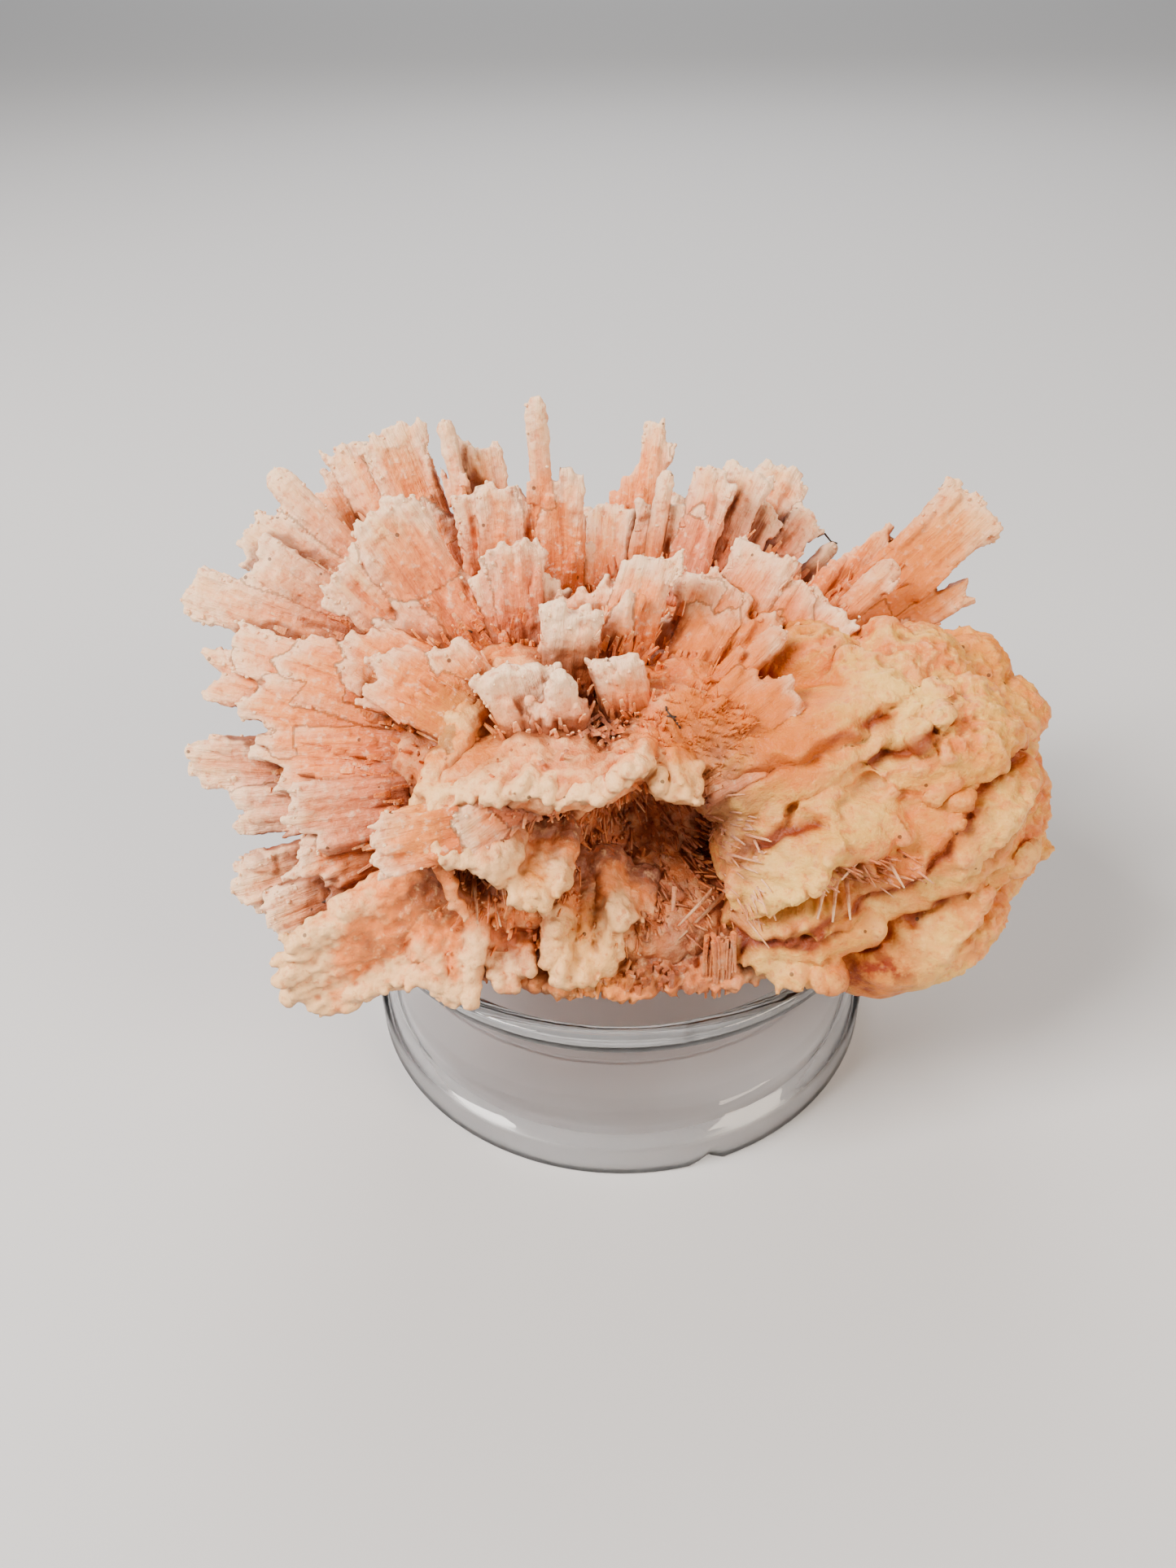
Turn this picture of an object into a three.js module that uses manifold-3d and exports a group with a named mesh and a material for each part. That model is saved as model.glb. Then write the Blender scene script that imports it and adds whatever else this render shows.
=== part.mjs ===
// A radiating crystal cluster, sold as a mordenite specimen, resting on a clear ring stand.
// Millimetres, +Z up. Places are given from the centre of the ring's foot, with the side that
// the specimen is shown from towards -Y. At the end the model is moved so that the middle of
// its footprint is the origin.

import * as THREE from 'three';
import { mergeVertices } from 'three/addons/utils/BufferGeometryUtils.js';
import { ImprovedNoise } from 'three/addons/math/ImprovedNoise.js';
import Module from 'manifold-3d';

const wasm = await Module();
wasm.setup();

// Driving dimensions of the ring stand
const ringRadius = 25;
const ringHeight = 18.2;
const ringWall = 1.8;
const ringFootHeight = 3.6;
const ringRimHeight = 1.7;
const ringWaistInset = 2.7;
const ringFacets = 40;
const chipWidth = 2.6;
const chipDepth = 0.9;

// Driving dimensions of the cluster
const restGap = 0.3;
const seatClearance = 1.2;
const rootWidthShare = 0.62;
const tipThicknessShare = 0.6;
const rootSpread = 0.35;
const layerStep = 1.1;
const seatFacets = 20;

const noise = new ImprovedNoise();

// A repeatable stream of numbers from 0 to 1
function randomStream(seed) {
  let state = seed * 2654435761 % 4294967296;
  return () => {
    state = (state * 1664525 + 1013904223) % 4294967296;
    return state / 4294967296;
  };
}

// Closed triangle mesh to solid, and back
function solidFrom(geometry) {
  const bare = geometry.clone();
  bare.deleteAttribute('normal');
  bare.deleteAttribute('uv');
  const welded = mergeVertices(bare, 1e-4);
  return new wasm.Manifold(new wasm.Mesh({
    numProp: 3,
    vertProperties: new Float32Array(welded.attributes.position.array),
    triVerts: new Uint32Array(welded.index.array),
  }));
}

function geometryFrom(solid) {
  const mesh = solid.getMesh();
  const geometry = new THREE.BufferGeometry();
  geometry.setAttribute('position', new THREE.BufferAttribute(mesh.vertProperties, 3));
  geometry.setIndex(new THREE.BufferAttribute(mesh.triVerts, 1));
  geometry.computeVertexNormals();
  return geometry;
}

// The outline of a blade lies in its own plane: u across, v along it from root to tip.
// A saw-toothed end has a row of lath ends, highest at the share "peak" of the width.
function sawEnd(width, length, peak, random) {
  const teeth = Math.max(2, Math.round(width / 2.3));
  const pitch = width / teeth;
  const points = [];
  for (let i = 0; i < teeth; i += 1) {
    const right = width / 2 - i * pitch;
    const middle = (right - pitch / 2) / width + 0.5;
    const fall = Math.abs(middle - peak) * width * (0.75 + 0.5 * random());
    const top = length - fall - pitch * 0.25 * random();
    if (i > 0) points.push([right, top - pitch * (0.25 + 0.5 * random())]);
    points.push([right - pitch * (0.3 + 0.4 * random()), top]);
  }
  points.unshift([width / 2, points[0][1] - pitch * 0.7]);
  points.push([-width / 2, points[points.length - 1][1] - pitch * 0.7]);
  return points;
}

function roundEnd(width, length) {
  const steps = 4;
  return Array.from({ length: steps + 1 }, (_, i) => {
    const angle = Math.PI * i / steps;
    return [width / 2 * Math.cos(angle), length + width * 0.45 * (Math.sin(angle) - 1)];
  });
}

// A narrow spike that stands on the shoulders of its plate
function spikeEnd(width, length, peak, random) {
  const middle = (peak - 0.5) * width * 0.5;
  return [
    [width * 0.5, length * (0.50 + 0.1 * random())],
    [width * 0.30 + middle, length * (0.66 + 0.08 * random())],
    [width * 0.20 + middle, length * 0.97],
    [middle, length],
    [middle - width * 0.18, length * 0.95],
    [middle - width * 0.24, length * (0.72 + 0.06 * random())],
    [-width * 0.5, length * (0.52 + 0.1 * random())],
  ];
}

function flatEnd(width, length, peak, random) {
  const slope = (peak - 0.5) * width;
  return [
    [width / 2, length - width * 0.2 + slope * 0.5],
    [width * 0.34, length + slope * 0.3],
    [0, length - width * 0.06 * random()],
    [-width * 0.38, length - slope * 0.3],
    [-width / 2, length - width * 0.16 - slope * 0.5],
  ];
}

const ends = { saw: sawEnd, round: roundEnd, spike: spikeEnd, flat: flatEnd };

// One flat blade from root to tip, its broad side turned to "face", thinner at the tip
function blade({ tip, root, width, thick, face = [0, -1, 0.4], end = 'saw', peak = 0.5, seed }) {
  const from = new THREE.Vector3(...root);
  const along = new THREE.Vector3(...tip).sub(from);
  const length = along.length();
  along.normalize();
  const outward = new THREE.Vector3(...face);
  outward.addScaledVector(along, -outward.dot(along)).normalize();
  const across = new THREE.Vector3().crossVectors(along, outward);

  const foot = width * rootWidthShare / 2;
  const outline = [
    [-foot, 0],
    [foot, 0],
    ...ends[end](width, length, peak, randomStream(seed)),
  ];
  const shape = new THREE.Shape(outline.map(([u, v]) => new THREE.Vector2(u, v)));
  const geometry = new THREE.ExtrudeGeometry(shape, { depth: thick, bevelEnabled: false });
  const position = geometry.attributes.position;
  for (let i = 0; i < position.count; i += 1) {
    const share = position.getY(i) / length;
    const thin = 1 - (1 - tipThicknessShare) * share;
    position.setZ(i, (position.getZ(i) - thick / 2) * thin);
  }
  geometry.applyMatrix4(new THREE.Matrix4().makeBasis(across, along, outward).setPosition(from));
  return solidFrom(geometry);
}

// How much rougher or smoother than a plain ball a surface is at a direction
function unevenness(point, rough, grain, seed) {
  const { x, y, z } = point;
  const wave = noise.noise(x * grain + seed, y * grain, z * grain + 0.37);
  const chop = noise.noise(x * grain * 3, y * grain * 3 + seed, z * grain * 3);
  return 1 + rough * (wave + 0.5 * chop);
}

// A ball stretched to "size" is tilted up about Y, then turned about Z
function turnOf({ tilt = 0, turn = 0 }) {
  const { degToRad } = THREE.MathUtils;
  const turned = new THREE.Matrix4().makeRotationZ(degToRad(turn));
  return turned.multiply(new THREE.Matrix4().makeRotationY(degToRad(-tilt)));
}

function movedPoints(geometry, move) {
  const position = geometry.attributes.position;
  const point = new THREE.Vector3();
  for (let i = 0; i < position.count; i += 1) {
    move(point.fromBufferAttribute(position, i));
    position.setXYZ(i, point.x, point.y, point.z);
  }
  return geometry;
}

// One uneven lump
function lump({ at, size, detail = 1, rough = 0.25, grain = 1.8, seed, ...turning }) {
  const geometry = new THREE.IcosahedronGeometry(1, detail);
  movedPoints(geometry, (point) => point.multiplyScalar(unevenness(point, rough, grain, seed)));
  geometry.scale(...size).applyMatrix4(turnOf(turning)).translate(...at);
  return solidFrom(geometry);
}

// A mound is the outline of several stretched balls grown together, as seen from its centre.
// Where one ball's swell meets the next there is a crease.
function mound({ centre, masses, detail, rough, grain, seed }) {
  const origin = new THREE.Vector3(...centre);
  const balls = masses.map(({ at, size, ...turning }) => {
    const shape = new THREE.Matrix4().makeTranslation(...at);
    return shape.multiply(turnOf(turning)).scale(new THREE.Vector3(...size)).invert();
  });
  const reachOf = (direction) => Math.max(...balls.map((ball) => {
    const from = origin.clone().applyMatrix4(ball);
    const step = origin.clone().add(direction).applyMatrix4(ball).sub(from);
    const half = from.dot(step);
    const room = half * half - step.lengthSq() * (from.lengthSq() - 1);
    return room > 0 ? (Math.sqrt(room) - half) / step.lengthSq() : 0;
  }));
  const geometry = new THREE.IcosahedronGeometry(1, detail);
  movedPoints(geometry, (point) => {
    const reach = reachOf(point) * unevenness(point, rough, grain, seed);
    point.multiplyScalar(reach).add(origin);
  });
  return solidFrom(geometry);
}

// The mass at the heart that the fans grow from, with its shoulders and the ledge in front
const heart = {
  centre: [-4, 0, 29],
  detail: 5,
  rough: 0.09,
  grain: 4,
  seed: 1,
  masses: [
    { at: [-5, 2, 28], size: [17, 16, 12.5] },
    { at: [-17, -3, 29.5], size: [10, 10, 7.5] },
    { at: [-11, -13, 26], size: [8, 6, 6.5] },
    { at: [-6.5, -13.5, 38], size: [10.5, 6, 3.4], tilt: 6 },
    { at: [-1, -14, 21.5], size: [13, 5, 4.2] },
    { at: [8, 12, 33], size: [13, 10, 8.5] },
    { at: [-4, 12, 22], size: [20, 15.5, 7] },
    { at: [-14, -15, 22], size: [9, 8, 5] },
    { at: [4, -6, 37], size: [7, 7, 4.5] },
    { at: [-3.6, -17.6, 23.6], size: [3.2, 3.6, 4.2] },
    { at: [-14.2, -18, 23.4], size: [2.8, 3.6, 4], tilt: 12 },
    { at: [3.2, -15.5, 38.2], size: [3.2, 4, 3.4] },
    { at: [-8, -5.5, 41], size: [5, 4, 3] },
  ],
};

// The massive cream lobe at the right, with swells that flow up to the right across its face
const lobe = {
  centre: [21, -1, 28],
  detail: 6,
  rough: 0.07,
  grain: 4,
  seed: 11,
  masses: [
    { at: [22, -3, 26.5], size: [15.5, 14.5, 12] },
    { at: [13, -9, 35.5], size: [11, 6, 4.2], tilt: 12, turn: 8 },
    { at: [25, -8, 35.5], size: [8, 6, 4.2], tilt: 8, turn: 14 },
    { at: [15, -13.5, 30.5], size: [8.5, 6, 3.8], tilt: 16, turn: 6 },
    { at: [26, -11, 29.5], size: [9.5, 6, 4.4], tilt: 22, turn: 22 },
    { at: [15, -15.5, 23.5], size: [7, 5, 3.6], tilt: 6 },
    { at: [25, -13.5, 20], size: [9, 6, 5], tilt: 24, turn: 14 },
    { at: [31.5, -6, 26], size: [5.6, 7, 9] },
    { at: [32, -4, 19], size: [5, 6, 4.5] },
    { at: [31.5, 2, 34], size: [4, 4, 4.5] },
    { at: [34, -1, 32.5], size: [3.5, 4, 3.6] },
    { at: [21.5, -7, 38.5], size: [3.8, 3.6, 3.6] },
    { at: [16, -1, 40], size: [5, 5, 4.2] },
    { at: [24.5, -2, 38.5], size: [5, 4.5, 3.8] },
    { at: [27, 8, 27], size: [9, 9, 8.5] },
  ],
};

// Lumps and thick fingers that stand out of the masses
const knobs = [
  { at: [-19.5, -18, 22.6], size: [10, 4, 3.3], tilt: 15, turn: 18, detail: 2, seed: 31 },
  { at: [-16.5, -17.5, 26.5], size: [7, 3, 2], tilt: 10, turn: 20, seed: 32 },
  { at: [-7.2, -17, 31.2], size: [2.8, 3.4, 1.5], seed: 34 },
  { at: [38, -4.5, 21], size: [2.4, 2.6, 2.4], seed: 22 },
];

// Fans of blades. Each fan's blades grow from about one root and share one facing.
const fans = [
  {
    // Back left fan
    root: [-12, 7, 35],
    face: [0.2, -1, 0.5],
    thick: 2.4,
    blades: [
      { tip: [-28, 18, 50], width: 4.2, peak: 0.7 },
      { tip: [-24.6, 18, 51.8], width: 4.4, end: 'flat' },
      { tip: [-20.6, 18, 53.4], width: 5.8, end: 'flat', peak: 0.6 },
      { tip: [-17, 15, 48.6], width: 4.2, peak: 0.2 },
      { tip: [-14.8, 14, 55.5], width: 1.8, end: 'round' },
      { tip: [-12.3, 16, 54.4], width: 4.4, peak: 0.4 },
      { tip: [-12.6, 9, 51], width: 3.2, end: 'flat' },
      { tip: [-10.2, 9, 53], width: 4, peak: 0.4 },
    ],
  },
  {
    // Tall spike and its plate
    root: [-5.5, 5, 36],
    face: [0.05, -1, 0.3],
    thick: 2.1,
    blades: [
      { tip: [-6.5, 9, 59], width: 2.3, end: 'round' },
      { tip: [-4.6, 9, 54.4], width: 4.2, peak: 0.55 },
      { tip: [-7.6, 9, 52.2], width: 2.6, peak: 0.6 },
      { tip: [-3.6, 10, 48.5], width: 4.4, peak: 0.4 },
    ],
  },
  {
    // Back spikes
    root: [1, 12, 34],
    face: [-0.1, -1, 0.2],
    thick: 2.2,
    blades: [
      { tip: [3.6, 26, 50.8], width: 5.6, end: 'spike', peak: 0.9 },
      { tip: [-2.4, 24, 42.4], width: 2.4, end: 'round' },
      { tip: [5, 14, 50.3], root: [1.6, 5, 36], width: 1.9, end: 'round' },
      { tip: [4.4, 17, 46.5], width: 3.4, peak: 0.3 },
    ],
  },
  {
    // Back right cluster
    root: [6, 8, 34],
    face: [-0.2, -1, 0.3],
    thick: 2.4,
    blades: [
      { tip: [7.4, 14, 48.6], width: 3.6, peak: 0.5 },
      { tip: [10.2, 16, 51], width: 4, peak: 0.5 },
      { tip: [13.2, 18, 48.8], width: 4.4, end: 'flat' },
      { tip: [15.6, 20, 46.6], width: 4.6, peak: 0.4 },
      { tip: [18.2, 26, 45.4], width: 5.6, end: 'round' },
      { tip: [20.8, 22, 43.4], width: 3, peak: 0.5 },
      { tip: [22.4, 20, 39.6], width: 2, end: 'round' },
    ],
  },
  {
    // Far right wing
    root: [17, 6, 33],
    face: [-0.25, -1, 0.5],
    thick: 2.6,
    blades: [
      { tip: [34.4, 15, 46.2], width: 6.4, end: 'flat', peak: 0.6 },
      { tip: [34, 13, 40.6], width: 5.4, peak: 0.7 },
      { tip: [30.6, 9, 36.8], width: 5, peak: 0.6 },
      { tip: [26, 16, 43.6], width: 4.4, end: 'spike', peak: 0.7 },
      { tip: [25.4, 8, 43.6], root: [14, 2, 35], width: 3.1, end: 'round' },
    ],
  },
  {
    // Tongue and middle crest
    root: [-9, -3, 37],
    face: [0.3, -1, 0.4],
    thick: 2.2,
    blades: [
      { tip: [-19.8, 2, 53], width: 7, end: 'round' },
      { tip: [-17.6, 2, 49.6], width: 7.6, peak: 0.3 },
      { tip: [-23, 0, 48.8], root: [-13, -3, 37], width: 4.8, end: 'flat', peak: 0.8 },
      { tip: [-20.4, -1, 46.6], root: [-12, -4, 37], width: 5, peak: 0.5 },
      { tip: [-8.8, 2, 51.4], root: [-8, -3, 38], width: 4.6, peak: 0.5 },
      { tip: [-11, 1, 49], root: [-8, -3, 38], width: 3.6, peak: 0.4 },
      { tip: [-5.4, 2, 47.4], root: [-7, -3, 38], width: 3.8, peak: 0.3 },
    ],
  },
  {
    // Middle plates
    root: [-1, -4, 38],
    face: [-0.1, -1, 0.5],
    thick: 2.1,
    blades: [
      { tip: [-2.6, 0, 48.4], width: 4.4, peak: 0.6 },
      { tip: [2.7, 0, 48.8], width: 4.6, end: 'flat', peak: 0.9 },
      { tip: [0.8, -3, 47.8], width: 2.4, end: 'spike' },
      { tip: [4.4, 4, 43], root: [1, 0, 36], width: 4.4, peak: 0.5 },
    ],
  },
  {
    // White peak and triangles
    root: [-5, -9, 36],
    face: [0.1, -1, 0.5],
    thick: 2.6,
    blades: [
      { tip: [-3.8, -6, 47.7], width: 4.8, end: 'flat', peak: 0.4 },
      { tip: [-8.6, -10, 44.8], width: 6, end: 'flat', peak: 0.3 },
      { tip: [-4.8, -12, 45.2], width: 4.6, end: 'spike' },
      { tip: [-0.6, -9, 44.9], root: [1, -9, 37], width: 4.4, end: 'flat', peak: 0.3 },
    ],
  },
  {
    // Upper left fan
    root: [-16, 3, 37],
    face: [0.35, -1, 0.5],
    thick: 2.4,
    blades: [
      { tip: [-37.4, 4, 45], width: 4.4, end: 'round', root: [-16, 0, 37.5] },
      { tip: [-33.6, 6, 48], width: 5, peak: 0.6 },
      { tip: [-31.6, 5, 46], width: 6.4, peak: 0.2 },
      { tip: [-30.3, 12, 51.9], width: 3.2, end: 'round' },
      { tip: [-33, 10, 47.9], width: 5.8, end: 'round' },
      { tip: [-26, 12, 46], width: 6, peak: 0.5 },
    ],
  },
  {
    // Big left fan
    root: [-12, -8, 37.5],
    face: [0.2, -1, 0.75],
    thick: 2.7,
    blades: [
      { tip: [-37, -2, 40.6], width: 4.6, peak: 0.6 },
      { tip: [-34, -1, 42.4], width: 4, peak: 0.5 },
      { tip: [-30, -3, 42], width: 6.6, peak: 0.4 },
      { tip: [-33, -6, 38.8], width: 7.4, peak: 0.5 },
      { tip: [-31.6, -8, 35.2], width: 6, peak: 0.6 },
      { tip: [-23.8, -3, 43.8], width: 6.4, peak: 0.4 },
      { tip: [-21.2, -6.5, 44.6], root: [-10, -10.5, 38], width: 6, peak: 0.4 },
      { tip: [-15.4, -6, 45.4], root: [-8, -9, 37], width: 4, peak: 0.4 },
    ],
  },
  {
    // Lower left fans
    root: [-14, -11, 32],
    face: [0.15, -1, 0.4],
    thick: 2.6,
    blades: [
      { tip: [-37.2, -6, 33.6], width: 4.6, end: 'round', root: [-18, -7, 33] },
      { tip: [-35, -8, 29.6], width: 4.4, peak: 0.5 },
      { tip: [-28.6, -14.5, 33], width: 6.4, peak: 0.6 },
      { tip: [-28.2, -16, 28.4], width: 6, peak: 0.5 },
      { tip: [-33.4, -13, 25], width: 5.4, end: 'round', root: [-15, -10, 28.5] },
      { tip: [-30.6, -15.5, 23.4], width: 5, end: 'round', root: [-15, -11.5, 27.5] },
      { tip: [-21.4, -20, 34.4], root: [-8, -16, 35], width: 4.4, peak: 0.5 },
      { tip: [-13, -18.5, 34.4], root: [-6, -14, 37], width: 4.2, end: 'flat' },
    ],
  },
  {
    // Right hand fans
    root: [3, -9, 35],
    face: [-0.35, -1, 0.8],
    thick: 2.6,
    blades: [
      { tip: [5.8, 2, 42.6], width: 5, peak: 0.5 },
      { tip: [9.6, 2, 44.4], width: 5, peak: 0.5 },
      { tip: [13.4, 2, 44.6], width: 5, peak: 0.5 },
      { tip: [14.4, -7, 42.4], root: [3, -13, 36], width: 6.4, peak: 0.6 },
      { tip: [15, -10, 39.4], root: [3, -14, 35], width: 6, peak: 0.5 },
      { tip: [13.4, -4, 44], root: [5, -8, 37], width: 2.6, end: 'round' },
    ],
  },
];

// The side that faces away is covered in blades that radiate from the heart in the same way
const backBlades = {
  heart: [-2, 4, 27],
  rows: [
    { rise: 44, reach: 25, from: 22, to: 158, count: 5 },
    { rise: 20, reach: 28, from: 12, to: 172, count: 6 },
    { rise: -2, reach: 27, from: 30, to: 176, count: 5 },
  ],
  width: 6,
  thick: 3,
};

function backFans() {
  const random = randomStream(77);
  const heart = new THREE.Vector3(...backBlades.heart);
  return backBlades.rows.flatMap((row) => Array.from({ length: row.count }, (_, i) => {
    const heading = row.from + (row.to - row.from) * (i + 0.6 * random()) / row.count;
    const rise = row.rise + 14 * (random() - 0.5);
    const reach = row.reach * (0.9 + 0.2 * random());
    const direction = new THREE.Vector3().setFromSphericalCoords(
      1,
      THREE.MathUtils.degToRad(90 - rise),
      THREE.MathUtils.degToRad(90 + heading),
    );
    direction.set(direction.x, -direction.z, direction.y);
    const tip = heart.clone().addScaledVector(direction, reach);
    const root = heart.clone().addScaledVector(direction, 6);
    return {
      tip: tip.toArray(),
      root: root.toArray(),
      face: [random() - 0.5, 0.4 * random(), 1],
      width: backBlades.width * (0.7 + 0.5 * random()),
      thick: backBlades.thick,
      end: ['saw', 'flat', 'round'][i % 3],
      seed: 300 + 20 * row.rise + i,
    };
  }));
}

// Hollows in the front: the dark pocket under the white peak, and the wide brown one below it
const hollows = [
  { at: [-1.6, -12.5, 41], size: [1.9, 4, 2.4], seed: 41 },
  { at: [1.5, -16.5, 30], size: [6.4, 8.5, 5], detail: 2, seed: 42 },
  { at: [-7.5, -19.5, 33.6], size: [5, 5, 2.6], rough: 0.3, tilt: -10, detail: 1, seed: 43 },
  { at: [-12, -19, 29.5], size: [3.4, 4, 2], rough: 0.3, detail: 1, seed: 44 },
  { at: [18.5, -20.5, 26.6], size: [5, 3.4, 1.7], rough: 0.3, tilt: 20, turn: 8, detail: 1, seed: 45 },
];

// The seat keeps the specimen clear of the ring's rim, which it stands on
function seatCut() {
  const boreRadius = ringRadius - ringWall - seatClearance;
  const waistRadius = boreRadius - ringWaistInset;
  const outerRadius = ringRadius + seatClearance;
  const profile = [
    [waistRadius, 0],
    [outerRadius, 0],
    [outerRadius, ringHeight + restGap],
    [boreRadius, ringHeight + restGap],
    [waistRadius, ringHeight - 2 * ringRimHeight],
    [waistRadius, 0],
  ];
  return solidFrom(turned(profile, seatFacets));
}

function turned(profile, facets) {
  const points = profile.map(([radius, height]) => new THREE.Vector2(radius, height));
  return new THREE.LatheGeometry(points, facets).rotateX(Math.PI / 2);
}

// The roots of a fan's blades lie apart by a share of what their tips do, and the blades lie
// in three layers, one behind another
function bladesOf(fan, fanIndex) {
  const middle = new THREE.Vector3();
  for (const each of fan.blades) {
    middle.addScaledVector(new THREE.Vector3(...each.tip), 1 / fan.blades.length);
  }
  return fan.blades.map((each, i) => {
    const root = new THREE.Vector3(...each.tip).sub(middle).multiplyScalar(rootSpread);
    root.add(new THREE.Vector3(...fan.root));
    root.addScaledVector(new THREE.Vector3(...fan.face).normalize(), layerStep * (i * 2 % 3 - 1));
    const seed = 100 + 20 * fanIndex + i;
    return { face: fan.face, thick: fan.thick, seed, root: root.toArray(), ...each };
  });
}

function clusterSolid() {
  const blades = fans.flatMap(bladesOf);
  let solid = mound(heart).add(mound(lobe));
  for (const hollow of hollows) {
    solid = solid.subtract(lump(hollow));
  }
  for (const knob of knobs) {
    solid = solid.add(lump(knob));
  }
  for (const each of [...blades, ...backFans()]) {
    solid = solid.add(blade(each));
  }
  return outerShell(solid.subtract(seatCut()));
}

// The one outer skin, without the small gaps that crossing blades close off inside it
function outerShell(solid) {
  return solid.decompose().reduce((best, each) => (each.volume() > best.volume() ? each : best));
}

// The ring stand: foot, waisted wall of even thickness and rim, in one profile round the axis
function ringSolid() {
  const waistSteps = 4;
  const wallTop = ringHeight - ringRimHeight;
  const waistHeight = wallTop - ringFootHeight;
  const outside = [];
  const inside = [];
  for (let i = 0; i <= waistSteps; i += 1) {
    const share = i / waistSteps;
    const height = ringFootHeight + waistHeight * share;
    const inset = ringWaistInset * Math.sin(Math.PI * share) ** 0.8 + 0.7;
    outside.push([ringRadius - inset, height]);
    inside.unshift([ringRadius - inset - ringWall + 0.5, height]);
  }
  const profile = [
    [ringRadius - ringWall, 0],
    [ringRadius, 0],
    [ringRadius, ringFootHeight - 0.3],
    ...outside,
    [ringRadius, wallTop + 0.3],
    [ringRadius, ringHeight],
    [ringRadius - ringWall, ringHeight],
    ...inside,
    [ringRadius - ringWall, 0],
  ];
  const chip = new THREE.CylinderGeometry(chipWidth / 2, chipWidth / 2, ringFootHeight * 0.5, 8)
    .rotateX(Math.PI / 2)
    .translate(0, -ringRadius - chipWidth / 2 + chipDepth, ringFootHeight * 0.1)
    .rotateZ(THREE.MathUtils.degToRad(17));
  return solidFrom(turned(profile, ringFacets)).subtract(solidFrom(chip));
}

const crystalMaterial = new THREE.MeshStandardMaterial({
  color: '#e9c3a4',
  roughness: 0.45,
  metalness: 0,
});
const acrylicMaterial = new THREE.MeshStandardMaterial({
  color: '#dfe6ee',
  roughness: 0.08,
  metalness: 0,
  transparent: true,
  opacity: 0.35,
});

const cluster = new THREE.Mesh(geometryFrom(clusterSolid()), crystalMaterial);
cluster.name = 'crystal_cluster';

const stand = new THREE.Mesh(geometryFrom(ringSolid()), acrylicMaterial);
stand.name = 'ring_stand';

const specimen = new THREE.Group();
specimen.add(cluster, stand);

const reach = new THREE.Box3().setFromObject(specimen, true);
const middle = reach.getCenter(new THREE.Vector3());
specimen.position.set(-middle.x, -middle.y, 0);

export default specimen;
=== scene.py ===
import math
from itertools import product

import bmesh
import bpy
import numpy as np
from mathutils import Matrix, Vector


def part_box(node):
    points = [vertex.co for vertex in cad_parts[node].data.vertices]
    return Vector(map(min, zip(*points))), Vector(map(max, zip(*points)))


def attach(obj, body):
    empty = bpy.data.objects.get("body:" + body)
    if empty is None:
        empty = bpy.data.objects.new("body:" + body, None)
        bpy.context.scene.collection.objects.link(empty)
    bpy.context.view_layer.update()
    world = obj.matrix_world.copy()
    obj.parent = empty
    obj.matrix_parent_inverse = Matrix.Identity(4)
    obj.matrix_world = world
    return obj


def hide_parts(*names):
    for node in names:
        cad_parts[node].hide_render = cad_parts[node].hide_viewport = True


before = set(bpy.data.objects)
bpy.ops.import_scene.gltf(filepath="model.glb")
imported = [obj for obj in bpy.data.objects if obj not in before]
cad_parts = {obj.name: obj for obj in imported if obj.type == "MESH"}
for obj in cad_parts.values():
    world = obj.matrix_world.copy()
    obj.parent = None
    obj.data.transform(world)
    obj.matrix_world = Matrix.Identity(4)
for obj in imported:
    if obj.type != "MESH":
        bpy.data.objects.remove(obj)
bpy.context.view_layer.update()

# A radiating cluster of pale crystal blades with a cream lobe, resting on a clear ring stand.
# Shapes are worked out in millimetres from the centre of the ring's foot, as in the solid model,
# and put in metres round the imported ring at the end.

scene = bpy.context.scene
ringLow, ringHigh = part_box("ring_stand")
ringMiddle = Vector(((ringLow.x + ringHigh.x) / 2, (ringLow.y + ringHigh.y) / 2, 0))
millimetre = 0.001


# Camera, floor and lights

cameraView = {
    "place": (-2.9, -88.5, 93.2),  # mm from the ring's centre
    "down": 37.43,                 # degrees below level
    "roll": 1.39,
    "lens": 27.2,
}


def placeCamera():
    data = bpy.data.cameras.new("camera")
    data.lens = cameraView["lens"]
    data.sensor_width = 36
    data.clip_start = 0.005
    camera = bpy.data.objects.new("camera", data)
    scene.collection.objects.link(camera)
    turn = Matrix.Rotation(math.radians(90 - cameraView["down"]), 4, "X")
    turn = turn @ Matrix.Rotation(math.radians(-cameraView["roll"]), 4, "Z")
    place = Vector(cameraView["place"]) * millimetre + ringMiddle
    camera.matrix_world = Matrix.Translation(place) @ turn
    scene.camera = camera


def layFloor():
    bm = bmesh.new()
    bmesh.ops.create_grid(bm, x_segments=1, y_segments=1, size=8)
    mesh = bpy.data.meshes.new("floor")
    bm.to_mesh(mesh)
    bm.free()
    floor = bpy.data.objects.new("floor", mesh)
    scene.collection.objects.link(floor)
    material = bpy.data.materials.new("pale_paper")
    material.use_nodes = True
    shader = material.node_tree.nodes["Principled BSDF"]
    shader.inputs["Base Color"].default_value = (0.52, 0.52, 0.53, 1)
    shader.inputs["Roughness"].default_value = 0.8
    mesh.materials.append(material)


# Soft boxes: place and aim in metres, size in metres, power in watts
softBoxes = {
    "key": {"place": (-0.40, -0.18, 0.48), "size": 0.28, "power": 9.4, "tint": (1.0, 0.94, 0.88)},
    "warmSide": {"place": (0.40, -0.30, 0.30), "size": 0.26, "power": 3.2, "tint": (1.0, 0.86, 0.70)},
    "backEdge": {"place": (0.05, 0.45, 0.42), "size": 0.36, "power": 1.4, "tint": (0.98, 0.98, 1.0)},
    "farWash": {"place": (0, 2.2, 1.6), "size": 1.2, "power": 26, "tint": (1.0, 1.0, 1.0)},
}
roomLight = {"tint": (1.0, 0.98, 0.96, 1), "strength": 0.23}


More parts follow.
